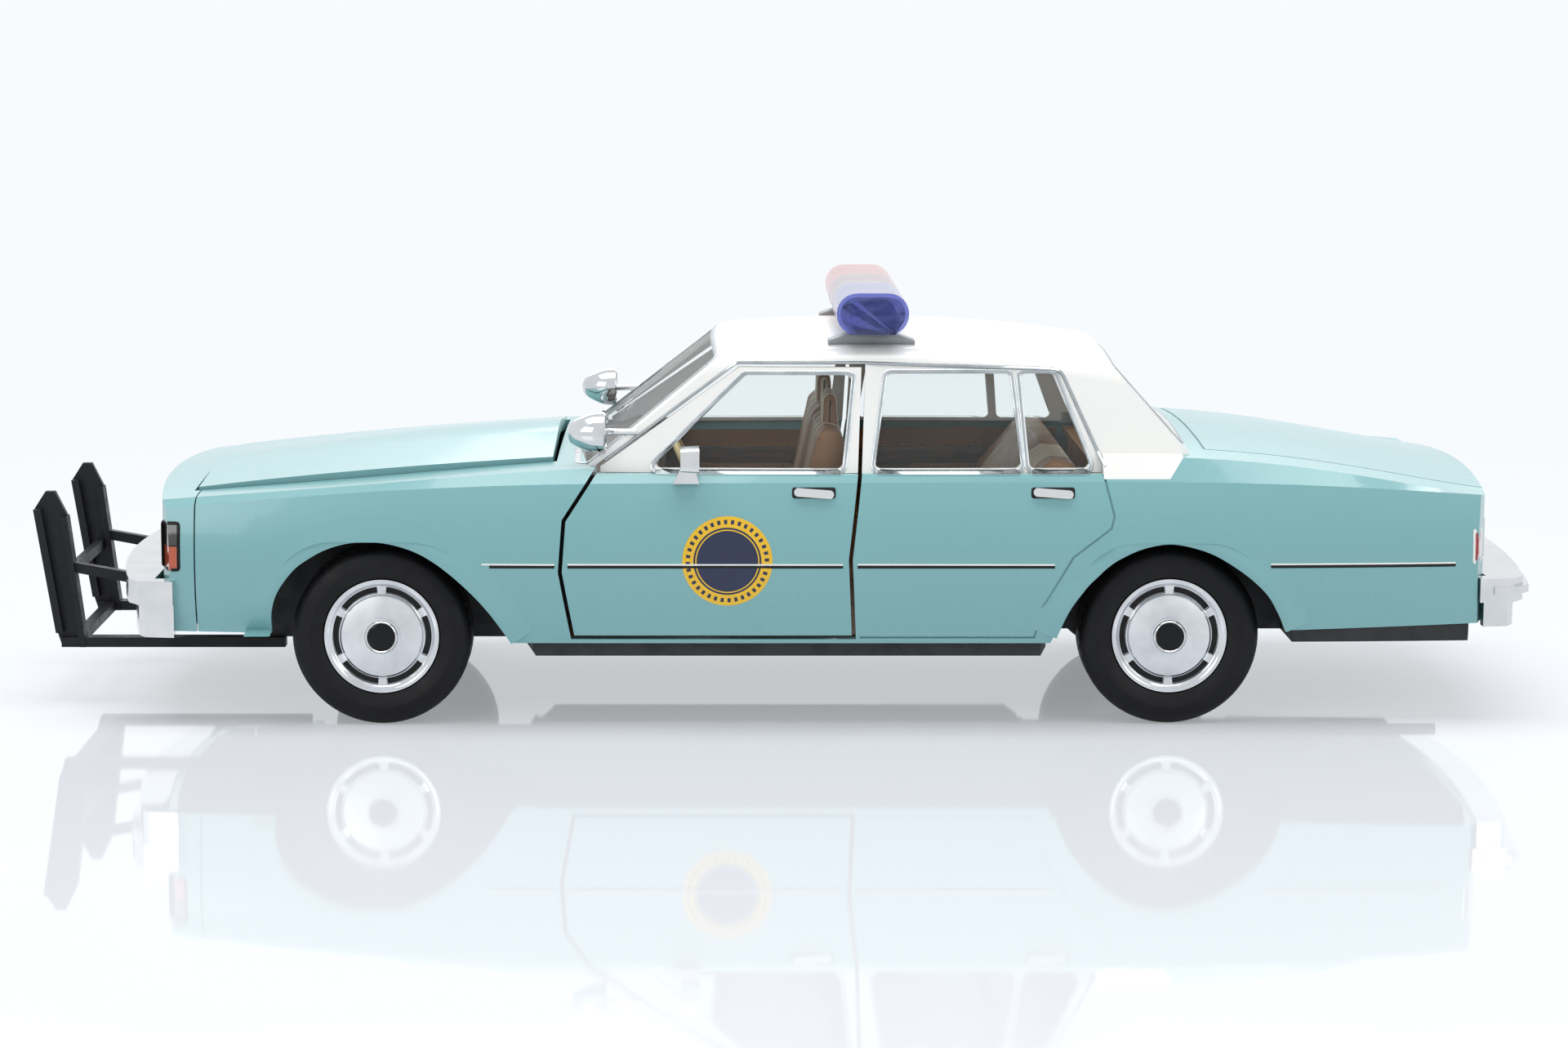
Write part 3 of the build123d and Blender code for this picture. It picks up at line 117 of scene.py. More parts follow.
@dataclass(frozen=True)
class Finish:
    """A moulded, painted or plated surface with a slow change of tone and a fine relief.

    Attributes:
        name: Common name of the material.
        colour: Main tone.
        shade: Second tone.
        tone_mm: Size of the patches of tone.
        grain_mm: Size of the grain.
        relief_mm: Height of the grain.
        rough: Lowest and highest roughness.
        metallic: Share of metal.
        coat: Weight of the clear coat.
        coat_rough: Roughness of the coat.
        ior: Index of refraction, or None for the default that a metal keeps.
        clear: Share of the light that goes straight through.
        tint: Colour that thin plastic gives that light.
        glance: How soon the reflection grows at a glance.
    """

    name: str
    colour: str
    shade: str
    tone_mm: float = 14.0
    grain_mm: float = 0.5
    relief_mm: float = 0.01
    rough: tuple[float, float] = (0.3, 0.4)
    metallic: float = 0.0
    coat: float = 0.0
    coat_rough: float = 0.05
    ior: float | None = 1.5
    clear: float = 0.0
    tint: str = "#FBFDFD"
    glance: float = 0.03

    def base(self, tree: NodeTree, place: Node) -> bpy.types.NodeSocket:
        """Mix the two tones by a slow noise.

        Args:
            tree: Node tree of the material.
            place: Texture coordinate node.

        Returns:
            The colour output.
        """
        tone = add_node(
            tree,
            "ShaderNodeTexNoise",
            {"Scale": 1 / (self.tone_mm * MM), "Detail": 3.0},
            {"Vector": place.outputs["Object"]},
        )
        mix = add_node(tree, "ShaderNodeValToRGB", links={"Fac": tone.outputs["Fac"]})
        mix.color_ramp.elements[0].position = 0.3
        mix.color_ramp.elements[0].color = linear(self.shade)
        mix.color_ramp.elements[1].position = 0.62
        mix.color_ramp.elements[1].color = linear(self.colour)
        return mix.outputs["Color"]

    def relief(self, tree: NodeTree, place: Node) -> bpy.types.NodeSocket:
        """Make the fine relief of the surface.

        Args:
            tree: Node tree of the material.
            place: Texture coordinate node.

        Returns:
            The normal output.
        """
        grain = add_node(
            tree,
            "ShaderNodeTexNoise",
            {"Scale": 1 / (self.grain_mm * MM), "Detail": 2.0},
            {"Vector": place.outputs["Object"]},
        )
        bump = add_node(
            tree,
            "ShaderNodeBump",
            {"Strength": 0.6, "Distance": self.relief_mm * MM},
            {"Height": grain.outputs["Fac"]},
        )
        return bump.outputs["Normal"]

    def make(self) -> Material:
        """Build the material.

        Returns:
            The material with its nodes.
        """
        material = bpy.data.materials.new(self.name)
        material.use_nodes = True
        tree = material.node_tree
        tree.nodes.clear()
        place = add_node(tree, "ShaderNodeTexCoord")
        spots = add_node(
            tree,
            "ShaderNodeTexNoise",
            {"Scale": 1 / (self.tone_mm * 0.3 * MM), "Detail": 4.0},
            {"Vector": place.outputs["Object"]},
        )
        gloss = add_node(
            tree,
            "ShaderNodeMapRange",
            {"From Min": 0.35, "From Max": 0.65, "To Min": self.rough[0], "To Max": self.rough[1]},
            {"Value": spots.outputs["Fac"]},
        )
        shader = add_node(
            tree,
            "ShaderNodeBsdfPrincipled",
            {
                "Metallic": self.metallic,
                "Coat Weight": self.coat,
                "Coat Roughness": self.coat_rough,
            },
            {
                "Base Color": self.base(tree, place),
                "Roughness": gloss.outputs["Result"],
                "Normal": self.relief(tree, place),
            },
        )
        if self.ior is not None:
            shader.inputs["IOR"].default_value = self.ior
        surface = shader.outputs["BSDF"]
        if self.clear > 0:
            surface = self.see_through(tree, surface, gloss.outputs["Result"])
        add_node(tree, "ShaderNodeOutputMaterial", links={"Surface": surface})
        return material

    def see_through(
        self, tree: NodeTree, surface: bpy.types.NodeSocket, gloss: bpy.types.NodeSocket
    ) -> bpy.types.NodeSocket:
        """Let light straight through thin plastic, with a reflection that grows at a glance.

        Args:
            tree: Node tree of the material.
            surface: Shader of the plastic's own colour.
            gloss: Roughness of its surface.

        Returns:
            The mixed shader.
        """
        through = add_node(tree, "ShaderNodeBsdfTransparent", {"Color": linear(self.tint)})
        tinted = add_node(
            tree, "ShaderNodeMixShader", {0: self.clear}, {1: surface, 2: through.outputs["BSDF"]}
        )
        edge = add_node(tree, "ShaderNodeLayerWeight", {"Blend": self.glance})
        shine = add_node(
            tree, "ShaderNodeBsdfAnisotropic", {"Color": linear("#FFFFFF")}, {"Roughness": gloss}
        )
        mixed = add_node(
            tree,
            "ShaderNodeMixShader",
            links={0: edge.outputs["Facing"], 1: tinted.outputs["Shader"], 2: shine.outputs["BSDF"]},
        )
        return mixed.outputs["Shader"]


@dataclass(frozen=True)
class StripedVinyl(Finish):
    """Seat covering printed with fine lines that run up each seat's middle panel."""

    stripe: str = "#D9CBB0"
    pitch_mm: float = 1.5
    centre_mm: float = 20.5
    half_mm: float = 9.0

    def base(self, tree: NodeTree, place: Node) -> bpy.types.NodeSocket:
        """Lay the lines over the two tones, inside the panels.

        Args:
            tree: Node tree of the material.
            place: Texture coordinate node.

        Returns:
            The colour output.
        """
        plain = super().base(tree, place)
        axes = add_node(tree, "ShaderNodeSeparateXYZ", links={0: place.outputs["Object"]})
        across = add_node(tree, "ShaderNodeMath", links={0: axes.outputs["Y"]}, operation="ABSOLUTE")
        turns = add_node(
            tree,
            "ShaderNodeMath",
            {1: 2 * math.pi / (self.pitch_mm * MM)},
            {0: across.outputs[0]},
            operation="MULTIPLY",
        )
        wave = add_node(tree, "ShaderNodeMath", links={0: turns.outputs[0]}, operation="SINE")
        lines = add_node(tree, "ShaderNodeMath", {1: 0.15}, {0: wave.outputs[0]}, operation="GREATER_THAN")
        gap = add_node(
            tree, "ShaderNodeMath", {1: self.centre_mm * MM}, {0: across.outputs[0]}, operation="SUBTRACT"
        )
        far = add_node(tree, "ShaderNodeMath", links={0: gap.outputs[0]}, operation="ABSOLUTE")
        near = add_node(
            tree, "ShaderNodeMath", {1: self.half_mm * MM}, {0: far.outputs[0]}, operation="LESS_THAN"
        )
        share = add_node(
            tree, "ShaderNodeMath", links={0: lines.outputs[0], 1: near.outputs[0]}, operation="MULTIPLY"
        )
        mix = add_node(
            tree,
            "ShaderNodeMixRGB",
            {"Color2": linear(self.stripe)},
            {"Fac": share.outputs[0], "Color1": plain},
        )
        return mix.outputs["Color"]


@dataclass(frozen=True)
class WoodPrint(Finish):
    """Printed wood figure: long grain along the car, stretched from a noise."""

    def base(self, tree: NodeTree, place: Node) -> bpy.types.NodeSocket:
        """Stretch the noise along the car to a grain.

        Args:
            tree: Node tree of the material.
            place: Texture coordinate node.

        Returns:
            The colour output.
        """
        stretch = add_node(
            tree, "ShaderNodeMapping", {"Scale": (0.12, 1.0, 1.0)}, {"Vector": place.outputs["Object"]}
        )
        grain = add_node(
            tree,
            "ShaderNodeTexNoise",
            {"Scale": 1 / (self.tone_mm * MM), "Detail": 6.0, "Distortion": 0.6},
            {"Vector": stretch.outputs["Vector"]},
        )
        ramp = add_node(tree, "ShaderNodeValToRGB", links={"Fac": grain.outputs["Fac"]})
        ramp.color_ramp.elements[0].position = 0.38
        ramp.color_ramp.elements[0].color = linear(self.shade)
        ramp.color_ramp.elements[1].position = 0.62
        ramp.color_ramp.elements[1].color = linear(self.colour)
        return ramp.outputs["Color"]


@dataclass(frozen=True)
class SplitLens(Finish):
    """Two-colour lens: smoked above a level and coloured below it."""

    lower: str = "#B4491E"
    level_mm: float = 37.8

    def base(self, tree: NodeTree, place: Node) -> bpy.types.NodeSocket:
        """Change from the lower to the upper colour at the level.

        Args:
            tree: Node tree of the material.
            place: Texture coordinate node.

        Returns:
            The colour output.
        """
        plain = super().base(tree, place)
        axes = add_node(tree, "ShaderNodeSeparateXYZ", links={0: place.outputs["Object"]})
        under = add_node(
            tree, "ShaderNodeMath", {1: self.level_mm * MM}, {0: axes.outputs["Z"]}, operation="LESS_THAN"
        )
        mix = add_node(
            tree,
            "ShaderNodeMixRGB",
            {"Color2": linear(self.lower)},
            {"Fac": under.outputs[0], "Color1": plain},
        )
        return mix.outputs["Color"]


@dataclass(frozen=True)
class WheelCover(Finish):
    """Plated wheel cover with a satin domed disc inside a bright ring."""

    behind: float = 0.0
    satin_mm: float = 8.4
    satin: float = 0.32

    def make(self) -> Material:
        """Build the material, then dull it inside the satin radius.

        Returns:
            The material with its nodes.
        """
        material = super().make()
        tree = material.node_tree
        shader = next(n for n in tree.nodes if n.type == "BSDF_PRINCIPLED")
        gloss = shader.inputs["Roughness"].links[0].from_socket
        place = next(n for n in tree.nodes if n.type == "TEX_COORD")
        centre = Vector((FRONT_AXLE_X - self.behind, 0.0, AXLE_Z)) * MM
        moved = add_node(
            tree,
            "ShaderNodeMapping",
            {"Location": -centre, "Scale": (1.0, 0.0, 1.0)},
            {"Vector": place.outputs["Object"]},
        )
        radius = add_node(
            tree, "ShaderNodeVectorMath", links={0: moved.outputs["Vector"]}, operation="LENGTH"
        )
        inside = add_node(
            tree,
            "ShaderNodeMath",
            {1: self.satin_mm * MM},
            {0: radius.outputs["Value"]},
            operation="LESS_THAN",
        )
        extra = add_node(
            tree,
            "ShaderNodeMath",
            {1: self.satin},
            {0: inside.outputs[0], 2: gloss},
            operation="MULTIPLY_ADD",
        )
        tree.links.new(extra.outputs[0], shader.inputs["Roughness"])
        return material


@dataclass(frozen=True)
class RingDecal(Finish):
    """Printed round decal: a dark disc, a thin line and a band with a ring of ticks."""

    behind: float = 71.8
    height: float = 35.2
    band: str = "#E8B92A"
    disc_mm: float = 7.0
    line_mm: float = 6.6
    line_width_mm: float = 0.25
    tick_low_mm: float = 7.7
    tick_high_mm: float = 8.6
    ticks: int = 36

    def base(self, tree: NodeTree, place: Node) -> bpy.types.NodeSocket:
        """Colour the decal by the distance and angle from its centre.

        Args:
            tree: Node tree of the material.
            place: Texture coordinate node.

        Returns:
            The colour output.
        """
        plain = super().base(tree, place)
        centre = Vector((FRONT_AXLE_X - self.behind, 0.0, self.height)) * MM
        moved = add_node(
            tree, "ShaderNodeVectorMath", {1: centre}, {0: place.outputs["Object"]}, operation="SUBTRACT"
        )
        flat = add_node(
            tree, "ShaderNodeVectorMath", {1: (1.0, 0.0, 1.0)}, {0: moved.outputs[0]}, operation="MULTIPLY"
        )
        radius = add_node(tree, "ShaderNodeVectorMath", links={0: flat.outputs[0]}, operation="LENGTH")
        axes = add_node(tree, "ShaderNodeSeparateXYZ", links={0: flat.outputs[0]})
        angle = add_node(
            tree, "ShaderNodeMath", links={0: axes.outputs["X"], 1: axes.outputs["Z"]}, operation="ARCTAN2"
        )
        turns = add_node(
            tree, "ShaderNodeMath", {1: float(self.ticks)}, {0: angle.outputs[0]}, operation="MULTIPLY"
        )
        wave = add_node(tree, "ShaderNodeMath", links={0: turns.outputs[0]}, operation="SINE")

        length = radius.outputs["Value"]
        masks: dict[str, bpy.types.NodeSocket] = {}
        for label, socket, level in (
            ("band", length, self.disc_mm * MM),
            ("line_in", length, (self.line_mm - self.line_width_mm) * MM),
            ("line_out", length, self.line_mm * MM),
            ("tick_in", length, self.tick_low_mm * MM),
            ("tick_out", length, self.tick_high_mm * MM),
            ("wave", wave.outputs[0], 0.1),
        ):
            mask = add_node(tree, "ShaderNodeMath", {1: level}, {0: socket}, operation="GREATER_THAN")
            masks[label] = mask.outputs[0]
        for label, first, second, how in (
            ("line", "line_in", "line_out", "SUBTRACT"),
            ("tick_band", "tick_in", "tick_out", "SUBTRACT"),
            ("ticks", "tick_band", "wave", "MULTIPLY"),
            ("gold", "band", "line", "ADD"),
            ("share", "gold", "ticks", "SUBTRACT"),
        ):
            mask = add_node(tree, "ShaderNodeMath", links={0: masks[first], 1: masks[second]}, operation=how)
            masks[label] = mask.outputs[0]
        mix = add_node(
            tree, "ShaderNodeMixRGB", {"Color2": linear(self.band)}, {"Fac": masks["share"], "Color1": plain}
        )
        return mix.outputs["Color"]


class Stuff(Enum):
    """Every finish on the car, by the part of it that it covers."""

    # alkyd enamel sprayed over zinc die-casting: even gloss with a faint orange peel
    BODY_ENAMEL = Finish("turquoise_enamel", "#79ACAE", "#77AAAC", 60, 0.9, 0.003, (0.24, 0.28), coat=0.35)
    # the same paint in cream, sprayed on the roof and the pillars
    ROOF_ENAMEL = Finish("cream_enamel", "#EBEBE7", "#E8E8E3", 60, 0.9, 0.003, (0.24, 0.28), coat=0.35)
    # vacuum-metallised ABS: bright and slightly soft in its reflections
    CHROME = Finish("chrome_plated_abs", "#D9DADB", "#CBCDCF", 9, 1.6, 0.006, (0.06, 0.14), 1.0, ior=None)
    # the dulled plating of the window surrounds
    TRIM = Finish("satin_plated_trim", "#B4B9BB", "#9EA4A7", 6, 0.8, 0.006, (0.22, 0.34), 1.0, ior=None)
    # clear injection-moulded polystyrene for the windows
    PANE = Finish("clear_polystyrene", "#FBFDFD", "#F6FAFA", 20, 3.0, 0.003, (0.01, 0.03), clear=0.98)
    # clear lens plastic over a bright reflector, so it looks pale and deep
    LENS_CLEAR = Finish("clear_lamp_lens", "#D3D8DA", "#B9C0C4", 3, 0.6, 0.02, (0.08, 0.16), 0.35, coat=0.8)
    # dyed acrylic, moulded thin: the light passes straight and takes a tint at each wall
    DOME_BLUE = Finish(
        "blue_tinted_acrylic", "#B4BCF4", "#A8B0EF", 6, 1.5, 0.01, (0.05, 0.12),
        clear=0.6, tint="#EAECFD", glance=0.12,
    )
    DOME_RED = Finish(
        "red_tinted_acrylic", "#F4A9AC", "#F09A9E", 6, 1.5, 0.01, (0.05, 0.12),
        clear=0.6, tint="#FCE9EA", glance=0.12,
    )
    DOME_CLEAR = Finish(
        "clear_acrylic_dome", "#EDF0F6", "#E4E9F0", 6, 1.5, 0.01, (0.05, 0.12),
        clear=0.7, tint="#F6F8FB", glance=0.12,
    )
    # dyed lens plastic over a dark box: deep colour under a wet-looking gloss
    LENS_AMBER = SplitLens(
        "smoked_and_amber_lens", "#2B2220", "#231C1B", 3, 0.6, 0.01, (0.06, 0.12), coat=1.0
    )
    LENS_RED = Finish("red_lamp_lens", "#9E1519", "#870F14", 3, 0.7, 0.02, (0.08, 0.16), coat=1.0)
    WINDOW_BLUE = Finish("deep_blue_acrylic", "#4E7FDC", "#3F6FD0", 3, 0.8, 0.02, (0.08, 0.16), coat=1.0)
    # black ABS with a fine moulded texture
    BLACK = Finish("black_moulded_abs", "#141517", "#101113", 8, 0.35, 0.02, (0.4, 0.55), ior=1.35)
    # black lacquer on smooth plastic: a sharp highlight on a dark ground
    GLOSS_BLACK = Finish("gloss_black_lacquer", "#0B0C0E", "#0F1012", 6, 1.0, 0.004, (0.1, 0.18), ior=1.3)
    # ABS from a coarse mould, dull
    UNDERSIDE = Finish("underbody_black_abs", "#202124", "#191A1C", 12, 0.5, 0.03, (0.5, 0.7))
    # ABS with a fine metal pigment: grey with a faint silky shine
    BAR_GREY = Finish("silver_grey_abs", "#8F9395", "#85898C", 8, 0.3, 0.012, (0.35, 0.48), 0.35)
    # metallic paint brushed over a moulding
    ENGINE = Finish("painted_engine_metal", "#8B8F92", "#6E7376", 6, 0.5, 0.03, (0.35, 0.55), 0.6)
    # soft PVC tyre: near-black with a dry bloom
    RUBBER = Finish("pvc_tyre_rubber", "#0F0F11", "#0B0B0D", 9, 0.4, 0.02, (0.42, 0.55), ior=1.3)
    # metallised ABS, with a satin disc masked inside the bright ring
    COVER_FRONT = WheelCover(
        "plated_wheel_cover_front", "#D4D6D9", "#C3C5C9", 6, 1.2, 0.006, (0.06, 0.13), 1.0, ior=None
    )
    COVER_REAR = WheelCover(
        "plated_wheel_cover_rear", "#D4D6D9", "#C3C5C9", 6, 1.2, 0.006, (0.06, 0.13), 1.0,
        ior=None, behind=WHEELBASE,
    )
    # interior mouldings in tan with a leather-like grain
    TAN = Finish("tan_grained_abs", "#8A5E2E", "#7A5228", 10, 0.6, 0.05, (0.4, 0.58))
    # vinyl printed with pale pinstripes
    SEAT = StripedVinyl("tan_striped_vinyl", "#875A30", "#764D28", 8, 0.5, 0.05, (0.42, 0.6))
    BENCH = StripedVinyl("tan_striped_bench", "#875A30", "#764D28", 8, 0.5, 0.05, (0.42, 0.6), half_mm=11.0)
    # smooth moulded ABS in a warm off-white
    IVORY = Finish("ivory_abs", "#D9BF8C", "#CDB27E", 8, 0.6, 0.02, (0.3, 0.45))
    # printed foil under varnish: dark streaks along the panel
    WOOD = WoodPrint("walnut_print", "#5B3B1F", "#2E1C0F", 1.6, 0.5, 0.02, (0.3, 0.42), coat=0.3)
    # hot-stamped foil: a warm metal line, a little dull
    GOLD = Finish("brass_coloured_foil", "#B8914A", "#A57F3C", 5, 0.6, 0.01, (0.25, 0.4), 0.8, ior=None)
    # dark grained moulding that takes little shine
    DASH = Finish("dark_brown_abs", "#3B2A1E", "#2E2018", 8, 0.4, 0.04, (0.5, 0.65))
    # pad-printed ink on the enamel: even colour, duller than the paint
    DECAL = RingDecal("printed_door_decal", "#1B2340", "#1F2848", 9, 0.8, 0.003, (0.3, 0.38))
    WHITE_LINE = Finish("white_printed_line", "#ECECE8", "#E2E2DE", 9, 0.8, 0.003, (0.3, 0.38))
    # bare moulded plate, satin
    PLATE = Finish("blank_number_plate", "#D9D9D2", "#CCCCC4", 6, 0.7, 0.01, (0.35, 0.45))
    # self-adhesive foil: nearly a true mirror
    MIRROR = Finish("mirror_foil", "#E8EAEB", "#DDE0E2", 9, 2.5, 0.003, (0.02, 0.04), 1.0, ior=None)


MADE: dict[Stuff, Material] = {}


def material(stuff: Stuff) -> Material:
    """Give the material of a finish, made once.

    Args:
        stuff: The finish.

    Returns:
        Its material.
    """
    if stuff not in MADE:
        MADE[stuff] = stuff.value.make()
    return MADE[stuff]


@dataclass(frozen=True)
class Pane:
    """A drawing plane: millimetres along u and v, and w pointing away from the surface."""

    origin: Vector
    u: Vector
    v: Vector
    w: Vector
    reach: float = 90.0
    span: float = 400.0

    def point(self, a: float, b: float, height: float) -> Vector:
        """Point of the plane, lifted by a height in millimetres."""
        return self.origin + (self.u * a + self.v * b + self.w * height) * MM

    def height(self, skin: "Skin | None", a: float, b: float) -> float | None:
        """Height of a skin over the plane.

        Args:
            skin: Surface to look for, or None for the plane itself.
            a: Millimetres along u.
            b: Millimetres along v.

        Returns:
            The height in millimetres, or None where the skin has no surface within the span.
        """
        if skin is None:
            return 0.0
        start = self.point(a, b, self.reach)
        hit = skin.hit(start, -self.w, self.span * MM)
        return None if hit is None else self.reach - (hit - start).length / MM

    def on(self, skin: "Skin | None", a: float, b: float, lift: float) -> Vector:
        """Point above the plane's place on a skin.

        Args:
            skin: Surface that carries the point, or None for the plane itself.
            a: Millimetres along u.
            b: Millimetres along v.
            lift: Millimetres above the surface.

        Returns:
            The point in metres.
        """
        return self.point(a, b, (self.height(skin, a, b) or 0.0) + lift)


class Skin:
    """Outer surface of some CAD nodes, so that trim lies on what carries it."""

    def __init__(self, *names: str) -> None:
        """Gather the triangles of the nodes.

        Args:
            *names: CAD nodes.
        """
        points: list[Vector] = []
        faces: list[tuple[int, ...]] = []
        for name in names:
            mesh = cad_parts[name].data
            start = len(points)
            points += [v.co.copy() for v in mesh.vertices]
            faces += [tuple(start + i for i in p.vertices) for p in mesh.polygons]
        self.tree = BVHTree.FromPolygons(points, faces)

    def hit(self, start: Vector, direction: Vector, far: float) -> Vector | None:
        """First point that a ray meets within a distance in metres, or None."""
        return self.tree.ray_cast(start, direction, far)[0]


def side_pane(sign: int) -> Pane:
    """Plane of a car side: u is the distance behind the front axle and v the height."""
    return Pane(at(0, 0, 0), Vector((-1, 0, 0)), Vector((0, 0, 1)), Vector((0, sign, 0)), 90.0, 54.0)


def inner_pane(sign: int) -> Pane:
    """Plane of a car side seen from inside the cabin."""
    return Pane(at(0, sign * 60, 0), Vector((-1, 0, 0)), Vector((0, 0, 1)), Vector((0, -sign, 0)), 38.0, 32.0)


# planes of the front, of the tail and of the two screens, which rise from their feet along v
NOSE = Pane(at(0, 0, 0), Vector((0, 1, 0)), Vector((0, 0, 1)), Vector((1, 0, 0)), 120.0)
TAIL = Pane(at(0, 0, 0), Vector((0, 1, 0)), Vector((0, 0, 1)), Vector((-1, 0, 0)), 300.0)
SCREEN = Pane(
    at(38.5, 0, 54), Vector((0, 1, 0)), Vector((-0.7954, 0, 0.6061)), Vector((0.6061, 0, 0.7954)), 90.0, 95.0
)
BACKLIGHT = Pane(
    at(166.6, 0, 60), Vector((0, 1, 0)), Vector((0.6762, 0, 0.7369)), Vector((-0.7369, 0, 0.6762)), 90.0, 95.0
)


def rounded(points: Sequence[Point], radius: float, steps: int = 5, closed: bool = True) -> Path:
    """Round the corners of an outline.

    Args:
        points: Corners of the outline.
        radius: Corner radius in millimetres.
        steps: Points on each corner.
        closed: Whether the outline closes.

    Returns:
        The rounded outline.
    """
    path: Path = []
    count = len(points)
    for i, corner in enumerate(points):
        if not closed and i in (0, count - 1):
            path.append(corner)
            continue
        here = Vector(corner)
        back = Vector(points[i - 1]) - here
        ahead = Vector(points[(i + 1) % count]) - here
        room = min(back.length / 2.2, ahead.length / 2.2)
        reach = min(radius / max(math.tan(back.angle(ahead) / 2), 1e-3), room)
        start = here + back.normalized() * reach
        end = here + ahead.normalized() * reach
        for k in range(steps + 1):
            t = k / steps
            spot = start * (1 - t) ** 2 + here * 2 * t * (1 - t) + end * t**2
            path.append((spot.x, spot.y))
    return path


def divided(path: Sequence[Point], step: float, closed: bool) -> Path:
    """Add points so that no run is longer than a step.

    Args:
        path: Points of the path.
        step: Longest run in millimetres.
        closed: Whether the path closes.

    Returns:
        The divided path.
    """
    out: Path = []
    runs = list(zip(path, list(path[1:]) + ([path[0]] if closed else [])))
    for (a0, b0), (a1, b1) in runs:
        parts = max(1, math.ceil(math.hypot(a1 - a0, b1 - b0) / step))
        out += [(a0 + (a1 - a0) * k / parts, b0 + (b1 - b0) * k / parts) for k in range(parts)]
    return out if closed else out + [path[-1]]


def sideways(path: Sequence[Point], closed: bool) -> Path:
    """Find the directions square to a path, to its left.

    Args:
        path: Points of the path.
        closed: Whether the path closes.

    Returns:
        A unit direction for each point.
    """
    count = len(path)
    out: Path = []
    for i in range(count):
        before = path[i - 1] if closed or i else path[i]
        after = path[(i + 1) % count] if closed or i < count - 1 else path[i]
        run = Vector(after) - Vector(before)
        run = run.normalized() if run.length > 1e-9 else Vector((1, 0))
        out.append((-run.y, run.x))
    return out


